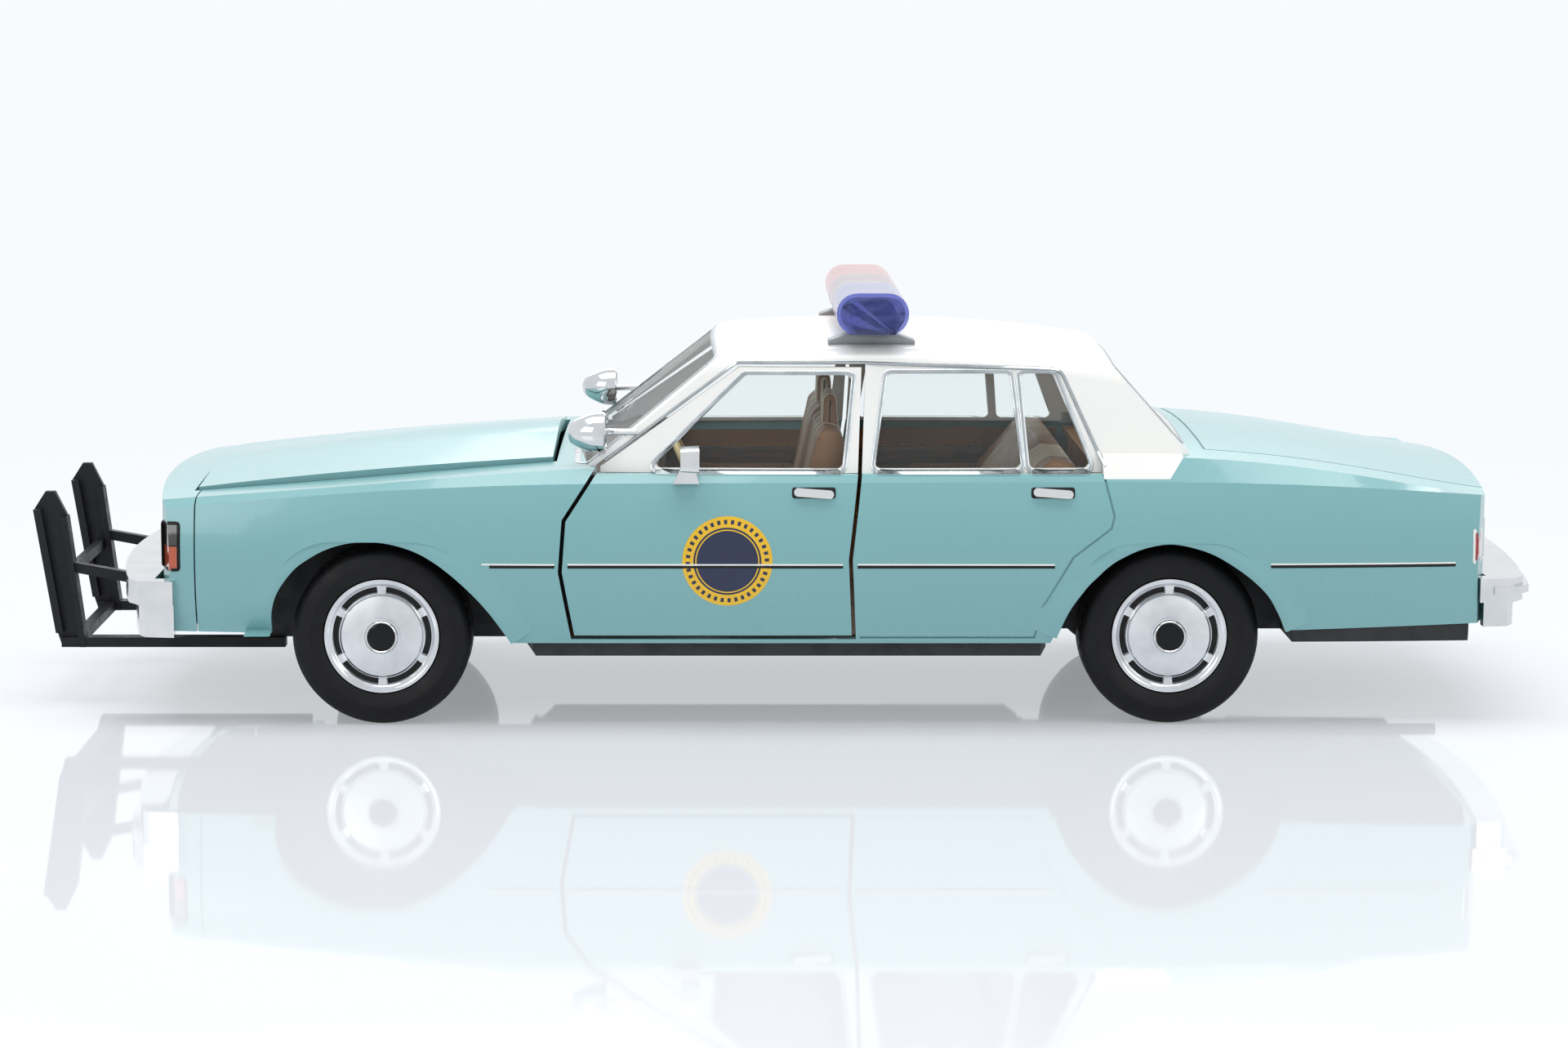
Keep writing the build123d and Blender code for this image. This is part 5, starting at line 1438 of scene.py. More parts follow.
@dataclass
class Wheel:
    """A grooved tyre and its plated cover, with profiles as (radius, distance outwards)."""

    place: str
    behind: float
    side: int
    track_half: float
    radius: float = 18.65
    rim: float = 12.2
    half: float = 6.25
    groove_mm: float = 0.45
    groove_places: tuple[float, ...] = (2.55, 0.85)
    cap: tuple[Point, ...] = ((0.0, 6.2), (2.95, 6.2), (2.95, 6.42), (2.6, 6.6), (1.4, 6.68), (0.0, 6.7))
    ring: tuple[Point, ...] = ((2.95, 6.3), (2.95, 6.62), (3.1, 6.75), (3.35, 6.6), (3.55, 6.3))
    bore: tuple[Point, ...] = (
        (0.0, 4.6), (2.6, 4.6), (2.6, 3.1), (1.56, 3.1), (1.56, -4.0), (4.0, -4.0), (4.0, 3.2),
    )
    barrel: tuple[Point, ...] = (
        (11.2, 3.2), (11.2, -5.25), (12.2, -5.25), (12.2, 4.4), (12.1, 5.1), (11.9, 5.35), (11.4, 5.4),
    )
    face: tuple[Point, ...] = (
        (11.0, 5.2), (10.6, 4.75), (10.35, 4.6), (8.95, 4.6), (8.7, 4.75), (8.4, 5.2), (7.5, 5.45),
        (6.0, 5.7), (3.9, 5.9), (3.9, 6.3), (3.3, 6.4), (0.0, 6.4),
    )
    slots: int = 6
    slot_in: float = 9.0
    slot_out: float = 10.3
    slot_level: float = 4.6
    slot_half_turn: float = 25.1
    slot_depth: float = 1.1
    floor_levels: Point = (3.35, 3.62)
    floor_turn: float = 49.0
    floor_steps: int = 12
    sipes: int = 90
    sipe_from: float = 2.8
    sipe_edge: float = 0.22
    sipe_depth: float = 0.3

    def tyre_profile(self) -> Path:
        """Section of the tyre with its four grooves and its sidewall ribs.

        Returns:
            Corners as (radius, distance outwards).
        """
        half, tread, depth = self.half, self.radius, self.groove_mm
        side = [(self.rim, half - 1.0), (self.rim + 1.6, half - 0.2), (14.6, half - 0.05), (14.75, half)]
        side += [(15.0, half), (15.15, half - 0.05), (16.8, half - 0.28), (17.6, half - 0.8)]
        side += [(18.2, half - 1.35), (18.5, half - 1.9), (tread, half - 2.6)]
        groove = ((tread, 0.3), (tread - depth, 0.2), (tread - depth, -0.2), (tread, -0.3))
        outer = side + [(reach, middle + offset) for middle in self.groove_places for reach, offset in groove]
        return outer + [(r, -y) for r, y in reversed(outer)]

    def build(self) -> None:
        """Build the tyre, the slot floors, the boss ring and the cap."""
        body = f"{self.place}_wheel"
        centre = at(self.behind, self.side * self.track_half, AXLE_Z)
        axis, up = Vector((0, self.side, 0)), Vector((0, 0, 1))
        tyre = Bench.turned(f"tread_{self.place}", self.tyre_profile(), centre, axis, up, self.sipes)
        self.cut_sipes(tyre, centre)
        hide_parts(f"tyre_{self.place}")
        Bench.dress(tyre, Stuff.RUBBER, body, "tyre_rubber", 40)
        self.cover(centre, axis, up)
        for name, profile, stuff, slot in (
            ("hub_cap", self.cap, Stuff.GLOSS_BLACK, "black_plastic"),
            ("hub_ring", self.ring, Stuff.CHROME, "wheel_chrome"),
        ):
            piece = Bench.turned(f"{name}_{self.place}", profile, centre, axis, up, 48)
            Bench.dress(piece, stuff, body, slot)
        low, high = self.floor_levels
        section = ((self.slot_in, low), (self.slot_in, high), (self.slot_out, high), (self.slot_out, low))
        floors = []
        for k in range(self.slots):
            rows = []
            for j in range(self.floor_steps + 1):
                turn = 360 / self.slots * k + self.floor_turn * (j / self.floor_steps - 0.5)
                spoke = Vector((math.cos(math.radians(turn)), 0, math.sin(math.radians(turn))))
                rows.append([centre + (spoke * r + axis * h) * MM for r, h in section])
            floors.append(Bench.weave("slot", rows))
        floor = Bench.join(f"slot_floors_{self.place}", floors)
        Bench.dress(floor, Stuff.BLACK, body, "wheel_chrome")

    def cover(self, centre: Vector, axis: Vector, up: Vector) -> None:
        """Turn the plated cover with its barrel and bore, and press its six slots in.

        Args:
            centre: Middle of the wheel.
            axis: Direction outwards along the axle.
            up: Direction in which the section is drawn.
        """
        outline = self.bore + self.barrel + self.face
        piece = Bench.turned(f"wheel_cover_{self.place}", outline, centre, axis, up, 144)
        pitch = 360 / self.slots
        picked = []
        for polygon in piece.data.polygons:
            middle = polygon.center - centre
            reach = math.hypot(middle.x, middle.z)
            turn = math.degrees(math.atan2(middle.z, middle.x)) % pitch
            level = abs(middle.dot(axis) - self.slot_level * MM) < 0.05 * MM
            on_ring = self.slot_in * MM < reach < self.slot_out * MM and level
            if on_ring and min(turn, pitch - turn) < self.slot_half_turn:
                picked.append(polygon.index)
        Bench.choose(piece, picked)
        bpy.ops.mesh.extrude_region_move(TRANSFORM_OT_translate={"value": -axis * self.slot_depth * MM})
        Bench.close()
        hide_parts(f"rim_{self.place}")
        stuff = Stuff.COVER_FRONT if self.behind == 0 else Stuff.COVER_REAR
        Bench.dress(piece, stuff, f"{self.place}_wheel", "wheel_chrome", 40)

    def cut_sipes(self, tyre: Object, centre: Vector) -> None:
        """Press the lateral cuts into the shoulder ribs of the tread.

        Args:
            tyre: The turned tyre.
            centre: Middle of the wheel.
        """
        picked = []
        for polygon in tyre.data.polygons:
            middle = polygon.center - centre
            angle = math.atan2(middle.z, middle.x)
            reach = math.hypot(middle.x, middle.z)
            shoulder = reach > (self.radius - 0.1) * MM and abs(middle.y) > self.sipe_from * MM
            if shoulder and int((angle + math.pi) / (2 * math.pi) * self.sipes) % 2 == 0:
                picked.append(polygon.index)
        Bench.choose(tyre, picked)
        bpy.ops.mesh.inset(thickness=self.sipe_edge * MM, depth=-self.sipe_depth * MM, use_individual=True)
        Bench.close()


@dataclass
class Lamps:
    """Head lamps, corner lamps and tail lamps."""

    low: float = 31.85
    high: float = 44.75
    lamp_rows: tuple[Point, ...] = ((22.45, 31.75), (32.75, 42.05))
    ribs: int = 7
    rib_margin: float = 0.3
    rib_inset: float = 1.5
    rib_share: float = 0.96
    rib_levels: tuple[Point, ...] = ((1.0, -0.1), (1.0, 0.08), (0.8, 0.2), (0.4, 0.26))
    corner_bar: tuple[Point, ...] = ((-45.6, 37.8), (-41.9, 37.8))
    tail_reach: Point = (21.7, 42.9)
    tail_rib_heights: tuple[float, ...] = (36.4, 38.1, 39.8, 41.5)

    def build(self) -> None:
        """Build the lenses, frames and ribs."""
        lenses = Skin("headlamps")
        low, high = self.low + self.rib_inset, self.high - self.rib_inset
        for sign, side in SIDES:
            for k, (inner, outer) in enumerate(self.lamp_rows):
                low_y, high_y = sorted((sign * inner, sign * outer))
                ribs = []
                step = (high_y - low_y - 2 * self.rib_margin) / self.ribs
                for j in range(self.ribs):
                    start = low_y + self.rib_margin + j * step
                    outline = box_outline(start, start + step * self.rib_share, low, high, 0.3, 2)
                    ribs.append(Bench.mound("rib", NOSE, lenses, outline, self.rib_levels, 4.0))
                lamp = Bench.join(f"headlamp_lens_{side}_{k + 1}", ribs)
                Bench.dress(lamp, Stuff.LENS_CLEAR, "car", "lens_clear")
            self.corner(sign, side)
            self.tail(sign, side)

    def corner(self, sign: int, side: str) -> None:
        """Frame the corner lamp in black.

        Args:
            sign: 1 on the left and -1 on the right.
            side: Name of the side.
        """
        flank = Flank(side, side_pane(sign), Skin("corner_lamps", "header_panel"))
        line = box_outline(-45.5, -41.7, 32.8, 42.4, 0.6)
        black = Stuff.GLOSS_BLACK
        flank.strip("corner_lamp_frame", line, (0.7, 0.14), black, "black_plastic", False, True, 1.2)
        flank.strip("corner_lamp_bar", self.corner_bar, (0.35, 0.12), black, "black_plastic", step=1.2)

    def tail(self, sign: int, side: str) -> None:
        """Frame and divide the tail lamp.

        Args:
            sign: 1 on the left and -1 on the right.
            side: Name of the side.
        """
        tail = Skin("tail_lamps", "body_shell")
        low_y, high_y = sorted(sign * y for y in self.tail_reach)
        line = box_outline(low_y, high_y, 34.7, 43.1, 0.5)
        Flank(side, TAIL, tail).strip(
            "tail_lamp_frame", line, (0.8, 0.25), Stuff.CHROME, "chrome_plate", closed=True
        )
        bars = []
        for k in (1, 2):
            y = low_y + (high_y - low_y) * k / 3
            bars.append(Bench.ribbon("bar", TAIL, tail, [(y, 35.0), (y, 42.8)], 0.7, 0.25))
        Bench.dress(Bench.join(f"tail_lamp_bars_{side}", bars), Stuff.CHROME, "car", "chrome_plate")
        ribs = []
        for z in self.tail_rib_heights:
            ribs.append(Bench.ribbon("rib", TAIL, tail, [(low_y + 0.5, z), (high_y - 0.5, z)], 0.4, 0.12))
        Bench.dress(Bench.join(f"tail_lamp_ribs_{side}", ribs), Stuff.LENS_RED, "car", "lens_red")


@dataclass
class LightBar:
    """Light bar: three tinted domes of a stadium section over a tray on two feet, with its lamps."""

    middle: float = 102.0
    half: float = 40.0
    low: float = 80.7
    high: float = 89.3
    depth: float = 15.0
    corner: float = 4.2
    wall: float = 0.8
    slot: float = 9.5
    arc_steps: int = 8
    dome_steps: int = 6
    window_levels: tuple[Point, ...] = ((1.0, -0.4), (1.0, -0.05), (0.9, 0.0), (0.5, 0.0))
    end_bulb: tuple[Point, ...] = ((0.0, 0.0), (1.25, 0.0), (1.25, 2.8), (1.0, 3.8), (0.5, 4.3), (0.0, 4.4))
    bulb: tuple[Point, ...] = ((0.0, 0.0), (1.1, 0.0), (1.1, 2.6), (0.8, 3.4), (0.0, 3.7))
    bulb_places: tuple[float, ...] = (-33.0, -22.0, 22.0, 33.0)
    bulb_foot: float = 82.0
    foot_place: float = 31.5
    foot_half: float = 2.5
    # half widths of a foot at its lower and its upper edge
    foot_low: float = 9.1
    foot_high: float = 4.6
    # name, right end, left end and finish
    domes: tuple[tuple[str, float, float, Stuff], ...] = (
        ("blue", 12.0, 40.0, Stuff.DOME_BLUE),
        ("clear", -12.0, 12.0, Stuff.DOME_CLEAR),
        ("red", -40.0, -12.0, Stuff.DOME_RED),
    )

    def stadium(self, inset: float) -> Path:
        """Outline of the bar's section, from one edge of its bottom slot to the other.

        Args:
            inset: Millimetres inside the outer skin.

        Returns:
            Points as distance behind the front axle and height.
        """
        radius = self.corner - inset
        path: Path = [(self.middle - self.slot / 2, self.low + inset)]
        corners = (
            (self.middle - self.depth / 2 + self.corner, self.low + self.corner, 270),
            (self.middle - self.depth / 2 + self.corner, self.high - self.corner, 180),
            (self.middle + self.depth / 2 - self.corner, self.high - self.corner, 90),
            (self.middle + self.depth / 2 - self.corner, self.low + self.corner, 0),
        )
        for s, z, start in corners:
            for k in range(self.arc_steps + 1):
                turn = math.radians(start - 90 * k / self.arc_steps)
                path.append((s + radius * math.cos(turn), z + radius * math.sin(turn)))
        return path + [(self.middle + self.slot / 2, self.low + inset)]

    def build(self) -> None:
        """Build the bar."""
        outline = self.stadium(0.0)
        for name, low_y, high_y, stuff in self.domes:
            section = outline + self.stadium(self.wall)[::-1]
            stations = [low_y + (high_y - low_y) * k / self.dome_steps for k in range(self.dome_steps + 1)]
            pieces = [Bench.weave("tube", [[at(s, y, z) for s, z in section] for y in stations])]
            if name != "clear":
                end = self.half if high_y > 0 else -self.half
                inner = end - math.copysign(self.wall, end)
                pieces.append(Bench.weave("end", [[at(s, y, z) for s, z in outline] for y in (inner, end)]))
            dome = Bench.join(f"bar_dome_{name}", pieces)
            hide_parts(f"dome_{name}")
            Bench.dress(dome, stuff, "car", f"lens_{name}")
        self.tray()
        for sign, side, window, slot in (
            (1, "left", Stuff.WINDOW_BLUE, "lens_blue"),
            (-1, "right", Stuff.LENS_RED, "lens_red"),
        ):
            self.end(sign, side, window, slot)
        for k, y in enumerate(self.bulb_places):
            foot = at(self.middle - 3.4, y, self.bulb_foot)
            lamp = Bench.turned(
                f"beacon_bulb_{k + 1}", self.bulb, foot, Vector((0, 0, 1)), Vector((1, 0, 0)), 20
            )
            Bench.dress(lamp, Stuff.LENS_CLEAR, "car", "lens_clear")
        seams = []
        for y in (-12.0, 12.0):
            line = [(self.middle + (s - self.middle) * 0.985, z - 0.25) for s, z in outline[6:-6]]
            seams.append(Bench.wire("seam", [at(s, y, z) for s, z in line], 0.2, False, 2))
        ridge = [at(self.middle, y, self.high - 0.15) for y in (-39.4, 0.0, 39.4)]
        seams.append(Bench.wire("ridge", ridge, 0.14, False, 2))
        Bench.dress(Bench.join("bar_seams", seams), Stuff.DOME_CLEAR, "car", "lens_clear")
    def end_pane(self, sign: int, inset: float) -> Pane:
        """Plane square to the bar, some millimetres inside one of its ends."""
        place = at(0, sign * (self.half - inset), 0)
        return Pane(place, Vector((-1, 0, 0)), Vector((0, 0, 1)), Vector((0, sign, 0)))

    def end(self, sign: int, side: str, window: Stuff, slot: str) -> None:
        """Build the window and the lamp behind one end of the bar.

        Args:
            sign: 1 on the left and -1 on the right.
            side: Name of the side.
            window: Finish of the window.
            slot: Material slot of the window.
        """
        ring = box_outline(self.middle - 4.6, self.middle + 4.6, 82.0, 87.2, 1.6, 6)
        rim = Flank(side, self.end_pane(sign, 1.0), None)
        rim.strip("bar_window_frame", ring, (0.5, 0.15), window, slot, closed=True)
        pane = box_outline(self.middle - 4.4, self.middle + 4.4, 82.0, 87.0, 1.6, 6)
        back = Flank(side, self.end_pane(sign, 3.4), None)
        back.plate("bar_end_window", pane, self.window_levels, window, slot)
        foot = at(self.middle, sign * (self.half - 2.2), self.bulb_foot)
        bulb = Bench.turned(
            f"bar_end_bulb_{side}", self.end_bulb, foot, Vector((0, 0, 1)), Vector((1, 0, 0)), 24
        )
        Bench.dress(bulb, Stuff.TRIM, "car", "lens_clear")

    def tray(self) -> None:
        """Build the tray and its two feet, hollowed to stand on the roof."""
        reach = self.slot / 2 - 0.1
        low = Vector(at(self.middle + reach, 0.5 - self.half, self.low - 0.1))
        high = Vector(at(self.middle - reach, self.half - 0.5, 81.7))
        pieces = [Bench.block("plate", low, high, 0.15)]
        roof = Skin("roof_panel")
        pane = Pane(at(0, 0, 0), Vector((-1, 0, 0)), Vector((0, 1, 0)), Vector((0, 0, 1)), 90.0, 30.0)
        for side in (-1, 1):
            rows = []
            for y in (side * self.foot_place - self.foot_half, side * self.foot_place + self.foot_half):
                row = [at(self.middle - self.foot_low, y, 79.0), at(self.middle - self.foot_high, y, 80.5)]
                row += [at(self.middle + self.foot_high, y, 80.5), at(self.middle + self.foot_low, y, 79.0)]
                width = 2 * self.foot_low
                row += [
                    pane.on(roof, self.middle + self.foot_low - width * k / 6, y, 0.02) for k in range(7)
                ]
                rows.append(row)
            foot = Bench.weave("foot", rows)
            Bench.modify(foot, "BEVEL", width=0.15 * MM, segments=2, limit_method="ANGLE")
            pieces.append(foot)
        base = Bench.join("bar_tray", pieces)
        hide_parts("light_bar_base")
        Bench.dress(base, Stuff.BAR_GREY, "car", "bar_grey")


@dataclass
class SmallChrome:
    """Spotlight lenses and rims, mirror glass and the rear number plate."""

    spotlight: tuple[float, float, float] = (42.5, 44.2, 60.8)
    spot_lens: tuple[Point, ...] = ((0.0, 3.5), (3.6, 3.5), (3.6, 3.85), (2.4, 4.05), (0.0, 4.15))
    spot_rim: tuple[Point, ...] = ((3.6, 3.4), (4.25, 3.2), (4.3, 3.8), (4.0, 4.15), (3.7, 4.15))
    mirror_levels: tuple[Point, ...] = ((1.0, -0.3), (1.0, 0.05), (0.94, 0.1), (0.5, 0.1))
    plate_levels: tuple[Point, ...] = ((1.0, -0.2), (1.0, 0.3), (0.97, 0.4), (0.5, 0.4))

    def build(self) -> None:
        """Build the small pieces of the outside."""
        back, up = Vector((-1, 0, 0)), Vector((0, 0, 1))
        behind, y, z = self.spotlight
        for sign, side in SIDES:
            for name, profile, stuff, slot in (
                ("spotlight_lens", self.spot_lens, Stuff.LENS_CLEAR, "lens_clear"),
                ("spotlight_rim", self.spot_rim, Stuff.CHROME, "chrome_plate"),
            ):
                piece = Bench.turned(f"{name}_{side}", profile, at(behind, sign * y, z), back, up, 40)
                Bench.dress(piece, stuff, "car", slot)
        pane = Pane(at(66.0, 53.6, 56.4), Vector((0, 1, 0)), Vector((0, 0, 1)), Vector((-1, 0, 0)))
        outline = box_outline(-2.3, 2.3, -1.9, 1.9, 0.7)
        glass = Bench.mound("mirror_glass", pane, None, outline, self.mirror_levels)
        Bench.dress(glass, Stuff.MIRROR, "left_door", "chrome_plate")
        tail = Skin("body_shell", "rear_bumper")
        outline = box_outline(-8.5, 8.5, 34.6, 43.0, 0.6)
        plate = Bench.mound("rear_plate", TAIL, tail, outline, self.plate_levels)
        Bench.dress(plate, Stuff.PLATE, "car", "roof_paint")
        outline = box_outline(-8.8, 8.8, 34.3, 43.3, 0.6)
        edge = Bench.ribbon("rear_plate_frame", TAIL, tail, outline, 0.6, 0.55, True)
        Bench.dress(edge, Stuff.CHROME, "car", "chrome_plate")


@dataclass
class Cabin:
    """Seats and door linings inside the cabin."""

    seats: tuple[tuple[str, float, float], ...] = (("left", 2.0, 39.0), ("right", -39.0, -2.0))
    front_cushion: tuple[Point, ...] = ((70.5, 24.0), (70.0, 31.5), (73.0, 34.0), (87.0, 32.0), (93.0, 24.0))
    front_back: tuple[Point, ...] = (
        (84.5, 31.0), (90.6, 59.5), (92.4, 61.2), (95.4, 60.4), (96.6, 57.0), (93.0, 30.0), (90.0, 26.0),
    )
    head_rest: tuple[Point, ...] = ((91.8, 58.8), (92.0, 66.0), (93.4, 67.4), (95.0, 66.4), (95.6, 58.8))
    rest_middle: float = 20.5
    rest_half: float = 6.5
    bench_half: float = 41.5
    bench_cushion: tuple[Point, ...] = (
        (112.0, 24.6), (111.4, 33.6), (114.4, 36.0), (130.0, 34.4), (133.0, 24.6),
    )
    bench_back: tuple[Point, ...] = (
        (127.8, 41.6), (137.4, 53.0), (139.6, 54.4), (144.0, 54.0), (146.0, 50.0), (146.0, 41.6),
    )
    end_round: float = 1.6
    end_steps: tuple[float, ...] = (0.0, 0.25, 0.7, 1.2, 1.7)
    # section of a sewn line: distance to its side, and depth
    sewn: tuple[Point, ...] = ((-0.55, 0.04), (-0.2, 0.22), (0.0, 0.34), (0.2, 0.22), (0.55, 0.04))
    wood_levels: tuple[Point, ...] = ((1.0, -0.1), (1.0, 0.25), (0.98, 0.35), (0.6, 0.35), (0.3, 0.35))
    rest_levels: tuple[Point, ...] = ((1.0, 0.2), (1.0, 1.6), (0.92, 2.3), (0.5, 2.5))

    def bolster(
        self, name: str, profile: Sequence[Point], low_y: float, high_y: float, flutes: Sequence[float]
    ) -> Object:
        """Padded block with a side profile, round ends and sewn flutes.

        Args:
            name: Name of the piece.
            profile: Corners of the side view.
            low_y: Its right end.
            high_y: Its left end.
            flutes: Places of the sewn lines across the seat.

        Returns:
            The piece.
        """
        line = divided(rounded(profile, 1.8, 5), 2.2, True)
        out = sideways(line, True)
        area = sum(line[i - 1][0] * line[i][1] - line[i][0] * line[i - 1][1] for i in range(len(line)))
        turn = 1 if area > 0 else -1
        size = self.end_round
        stations = [
            (low_y + d, size - math.sqrt(max(0.0, size**2 - (size - d) ** 2))) for d in self.end_steps
        ]
        stations += [(high_y - (y - low_y), e) for y, e in stations]
        for y in flutes:
            stations += [(y + d, e) for d, e in self.sewn]
        rows = [
            [at(a + n[0] * turn * e, y, b + n[1] * turn * e) for (a, b), n in zip(line, out)]
            for y, e in sorted(stations)
        ]
        return Bench.weave(name, rows)

    def build(self) -> None:
        """Build the inside of the cabin."""
        for side, low_y, high_y in self.seats:
            sign = 1 if side == "left" else -1
            flutes = [sign * (10.5 + 2.5 * k) for k in range(9)]
            middle = sign * self.rest_middle
            pieces = [
                self.bolster("cushion", self.front_cushion, low_y, high_y, flutes),
                self.bolster("back", self.front_back, low_y, high_y, flutes),
                self.bolster("rest", self.head_rest, middle - self.rest_half, middle + self.rest_half, []),
            ]
            seat = Bench.join(f"front_seat_{side}", pieces)
            Bench.dress(seat, Stuff.SEAT, "car", "lining", 50)
            if side == "left":
                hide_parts("front_seats")
            self.linings(sign, side)
        flutes = [sign * (11.5 + 3.0 * k) for sign in (1, -1) for k in range(7)]
        half = self.bench_half
        back = self.bolster("rear_bench_back", self.bench_back, -half, half, flutes)
        Bench.dress(back, Stuff.BENCH, "car", "lining", 50)
        cushion = self.bolster("rear_bench_cushion", self.bench_cushion, -half, half, flutes)
        Bench.dress(cushion, Stuff.BENCH, "car", "lining", 50)
        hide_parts("rear_seat")

    def linings(self, sign: int, side: str) -> None:
        """Lay the wood-look panels, foil lines and arm rests on the linings.

        Args:
            sign: 1 on the left and -1 on the right.
            side: Name of the side.
        """
        pane = inner_pane(sign)
        for name, node, on_door, a0, a1 in (
            ("front", f"door_card_{side}", True, 52.0, 91.5),
            ("rear", "floor_tub", False, 102.5, 136.0),
        ):
            flank = Flank(side, pane, Skin(node))
            outline = box_outline(a0, a1, 30.0, 46.4, 1.2)
            flank.plate(f"wood_panel_{name}", outline, self.wood_levels, Stuff.WOOD, "lining", on_door, 3.0)
            line = box_outline(a0 - 0.3, a1 + 0.3, 29.7, 46.7, 1.4)
            flank.strip(f"foil_line_{name}", line, (0.45, 0.5), Stuff.GOLD, "lining", on_door, True)
            outline = box_outline(a0 + 12, a1 - 4, 40.0, 42.6, 1.2)
            flank.plate(f"arm_rest_{name}", outline, self.rest_levels, Stuff.TAN, "lining", on_door)


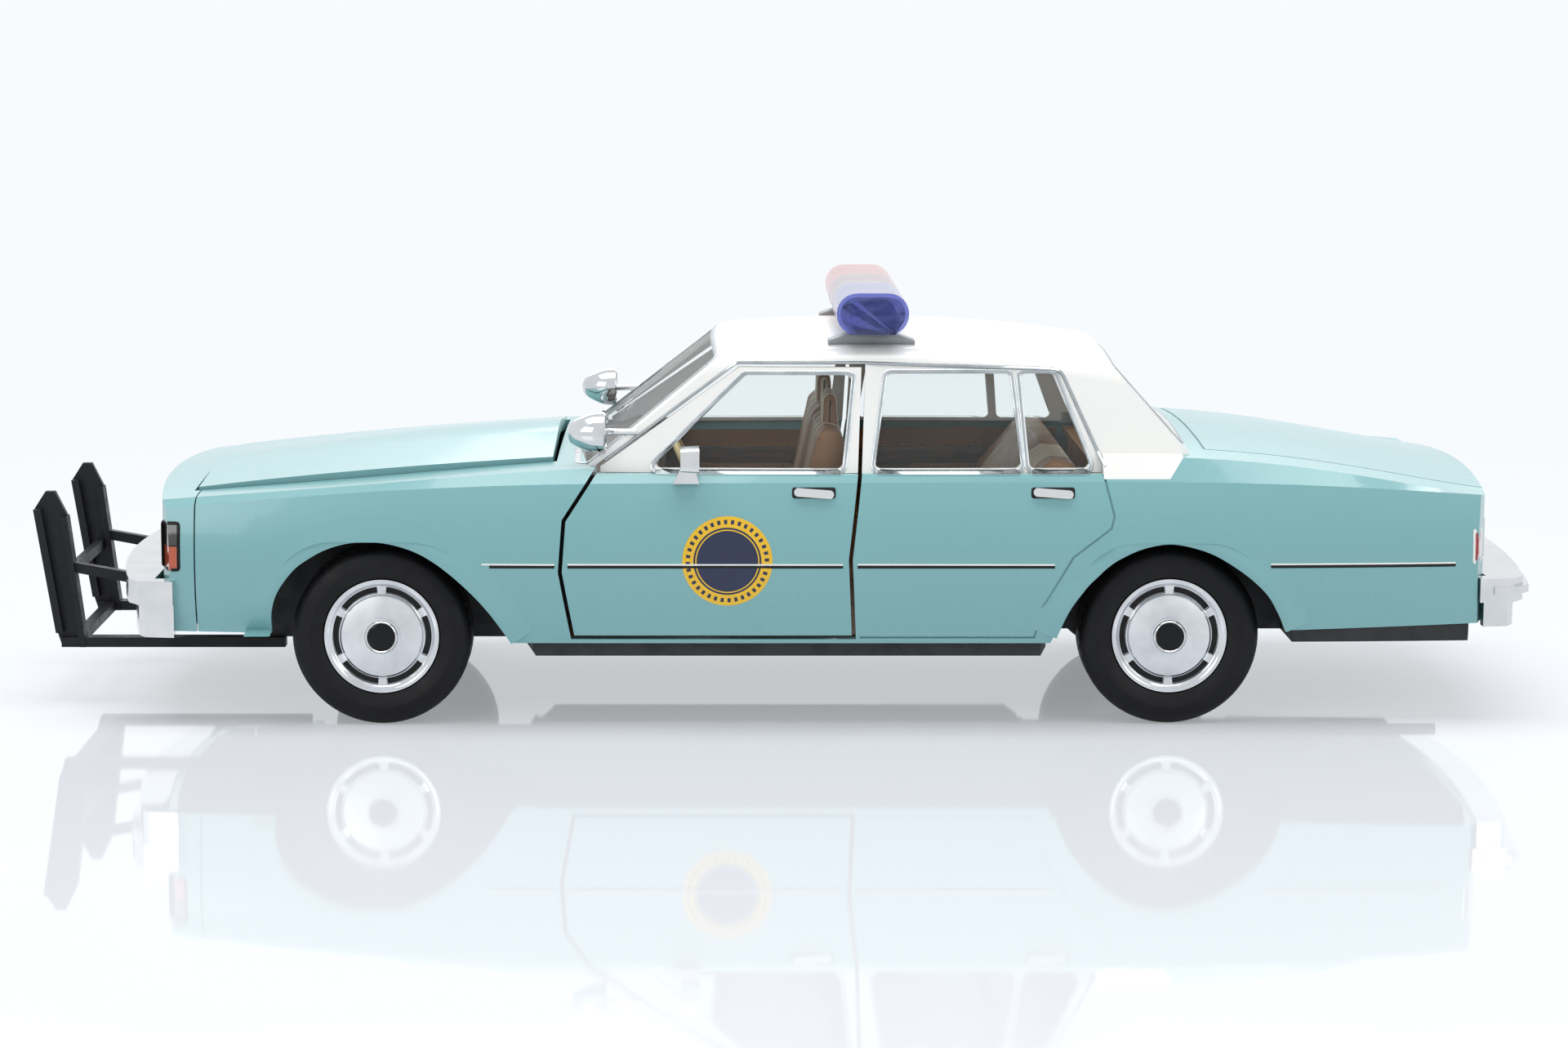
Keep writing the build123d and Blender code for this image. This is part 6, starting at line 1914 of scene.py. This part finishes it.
@dataclass
class Studio:
    """Pale floor, soft light and the camera at the photograph's place."""

    focal_px: float = 4453.0
    image_width: float = 1920.0
    camera_y: float = 800.0
    camera_z: float = 152.5
    camera_behind: float = 69.0
    pitch: float = 8.34
    shift_x: float = 0.0448
    floor_size: float = 6.0

    def build(self) -> None:
        """Build the floor, the world, the lamps and the camera."""
        bpy.context.scene.view_settings.view_transform = "Standard"
        self.floor()
        self.world()
        self.lamps()
        self.camera()

    @staticmethod
    def direct_rays(tree: NodeTree) -> bpy.types.NodeSocket:
        """Give 1 for camera, glossy and transmission rays.

        Args:
            tree: Node tree.

        Returns:
            The mask output.
        """
        path = add_node(tree, "ShaderNodeLightPath")
        seen = path.outputs["Is Camera Ray"]
        for name in ("Is Glossy Ray", "Is Transmission Ray"):
            either = add_node(
                tree, "ShaderNodeMath", links={0: seen, 1: path.outputs[name]}, operation="MAXIMUM"
            )
            seen = either.outputs[0]
        return seen

    def floor(self) -> None:
        """Lay the glossy white acrylic sheet that the car stands on."""
        Bench.clear()
        bpy.ops.mesh.primitive_grid_add(x_subdivisions=4, y_subdivisions=4, size=self.floor_size)
        sheet = bpy.context.object
        sheet.name = "studio_floor"
        finish = bpy.data.materials.new("white_acrylic_sheet")
        finish.use_nodes = True
        tree = finish.node_tree
        tree.nodes.clear()
        place = add_node(tree, "ShaderNodeTexCoord")
        scuffs = add_node(
            tree, "ShaderNodeTexNoise", {"Scale": 18.0, "Detail": 6.0}, {"Vector": place.outputs["Object"]}
        )
        gloss = add_node(
            tree, "ShaderNodeMapRange",
            {"From Min": 0.35, "From Max": 0.7, "To Min": 0.03, "To Max": 0.06},
            {"Value": scuffs.outputs["Fac"]},
        )
        shader = add_node(
            tree, "ShaderNodeBsdfPrincipled",
            {"Base Color": linear("#E9ECF1"), "IOR": 1.8}, {"Roughness": gloss.outputs["Result"]},
        )
        distance = add_node(
            tree, "ShaderNodeVectorMath", links={0: place.outputs["Object"]}, operation="LENGTH"
        )
        far = add_node(
            tree, "ShaderNodeMapRange",
            {"From Min": 0.16, "From Max": 0.6, "To Min": 0.3}, {"Value": distance.outputs["Value"]},
            interpolation_type="SMOOTHSTEP",
        )
        share = add_node(
            tree, "ShaderNodeMath",
            links={0: self.direct_rays(tree), 1: far.outputs["Result"]}, operation="MULTIPLY",
        )
        white = add_node(tree, "ShaderNodeEmission", {"Color": linear("#F8FBFE"), "Strength": 1.0})
        mixed = add_node(
            tree, "ShaderNodeMixShader",
            links={0: share.outputs[0], 1: shader.outputs["BSDF"], 2: white.outputs["Emission"]},
        )
        add_node(tree, "ShaderNodeOutputMaterial", links={"Surface": mixed.outputs["Shader"]})
        sheet.data.materials.append(finish)

    def world(self) -> None:
        """Light the set evenly, with a white background."""
        world = bpy.data.worlds.new("white_studio")
        bpy.context.scene.world = world
        world.use_nodes = True
        tree = world.node_tree
        tree.nodes.clear()
        dim = add_node(tree, "ShaderNodeBackground", {"Color": linear("#EEF1F6"), "Strength": 0.5})
        seen = add_node(tree, "ShaderNodeBackground", {"Color": linear("#F8FBFE"), "Strength": 1.0})
        mixed = add_node(
            tree, "ShaderNodeMixShader",
            links={0: self.direct_rays(tree), 1: dim.outputs["Background"], 2: seen.outputs["Background"]},
        )
        add_node(tree, "ShaderNodeOutputWorld", links={"Surface": mixed.outputs["Shader"]})

    def lamps(self) -> None:
        """Hang the soft boxes: a large one overhead and one each side of the camera."""
        # places, aims and sizes in metres, power in watts
        for name, place, aim, size, power in (
            ("overhead_box", (0.0, 0.1, 0.9), (0, 0, 0), (1.1, 0.6), 7.4),
            ("front_box", (0.7, 0.9, 0.5), (0, 0, 0.04), (0.6, 0.5), 2.2),
            ("rear_box", (-0.8, 0.8, 0.5), (0, 0, 0.04), (0.6, 0.5), 1.8),
            ("far_box", (0.0, -0.9, 0.6), (0, 0, 0.04), (1.0, 0.5), 2.6),
        ):
            lamp = bpy.data.lights.new(name, "AREA")
            lamp.shape = "RECTANGLE"
            lamp.size, lamp.size_y = size
            lamp.energy = power
            holder = bpy.data.objects.new(name, lamp)
            holder.location = place
            holder.rotation_euler = (Vector(aim) - Vector(place)).to_track_quat("-Z", "Y").to_euler()
            bpy.context.collection.objects.link(holder)

    def camera(self) -> None:
        """Set the camera where the photograph was taken from."""
        lens = bpy.data.cameras.new("photograph")
        lens.sensor_width = 36.0
        lens.lens = self.focal_px / math.cos(math.radians(self.pitch)) / self.image_width * lens.sensor_width
        lens.shift_x = self.shift_x
        lens.clip_start = 0.01
        lens.clip_end = 20.0
        holder = bpy.data.objects.new("photograph", lens)
        holder.location = at(self.camera_behind, self.camera_y, self.camera_z)
        holder.rotation_euler = (math.radians(90 - self.pitch), 0, math.radians(180))
        bpy.context.collection.objects.link(holder)
        bpy.context.scene.camera = holder


def main() -> None:
    """Build the sub-assemblies in order and report each piece."""
    logging.basicConfig(level=logging.INFO, format="%(message)s")
    Studio().build()
    PaintShop().build()
    SideTrim().build()
    ArchLips().build()
    ScreenTrim().build()
    for place, behind, side, track_half in (
        ("front_left", 0.0, 1, 42.6),
        ("front_right", 0.0, -1, 42.6),
        ("rear_left", WHEELBASE, 1, 42.0),
        ("rear_right", WHEELBASE, -1, 42.0),
    ):
        Wheel(place, behind, side, track_half).build()
    Lamps().build()
    LightBar().build()
    SmallChrome().build()
    Cabin().build()


if __name__ == "__main__":
    main()
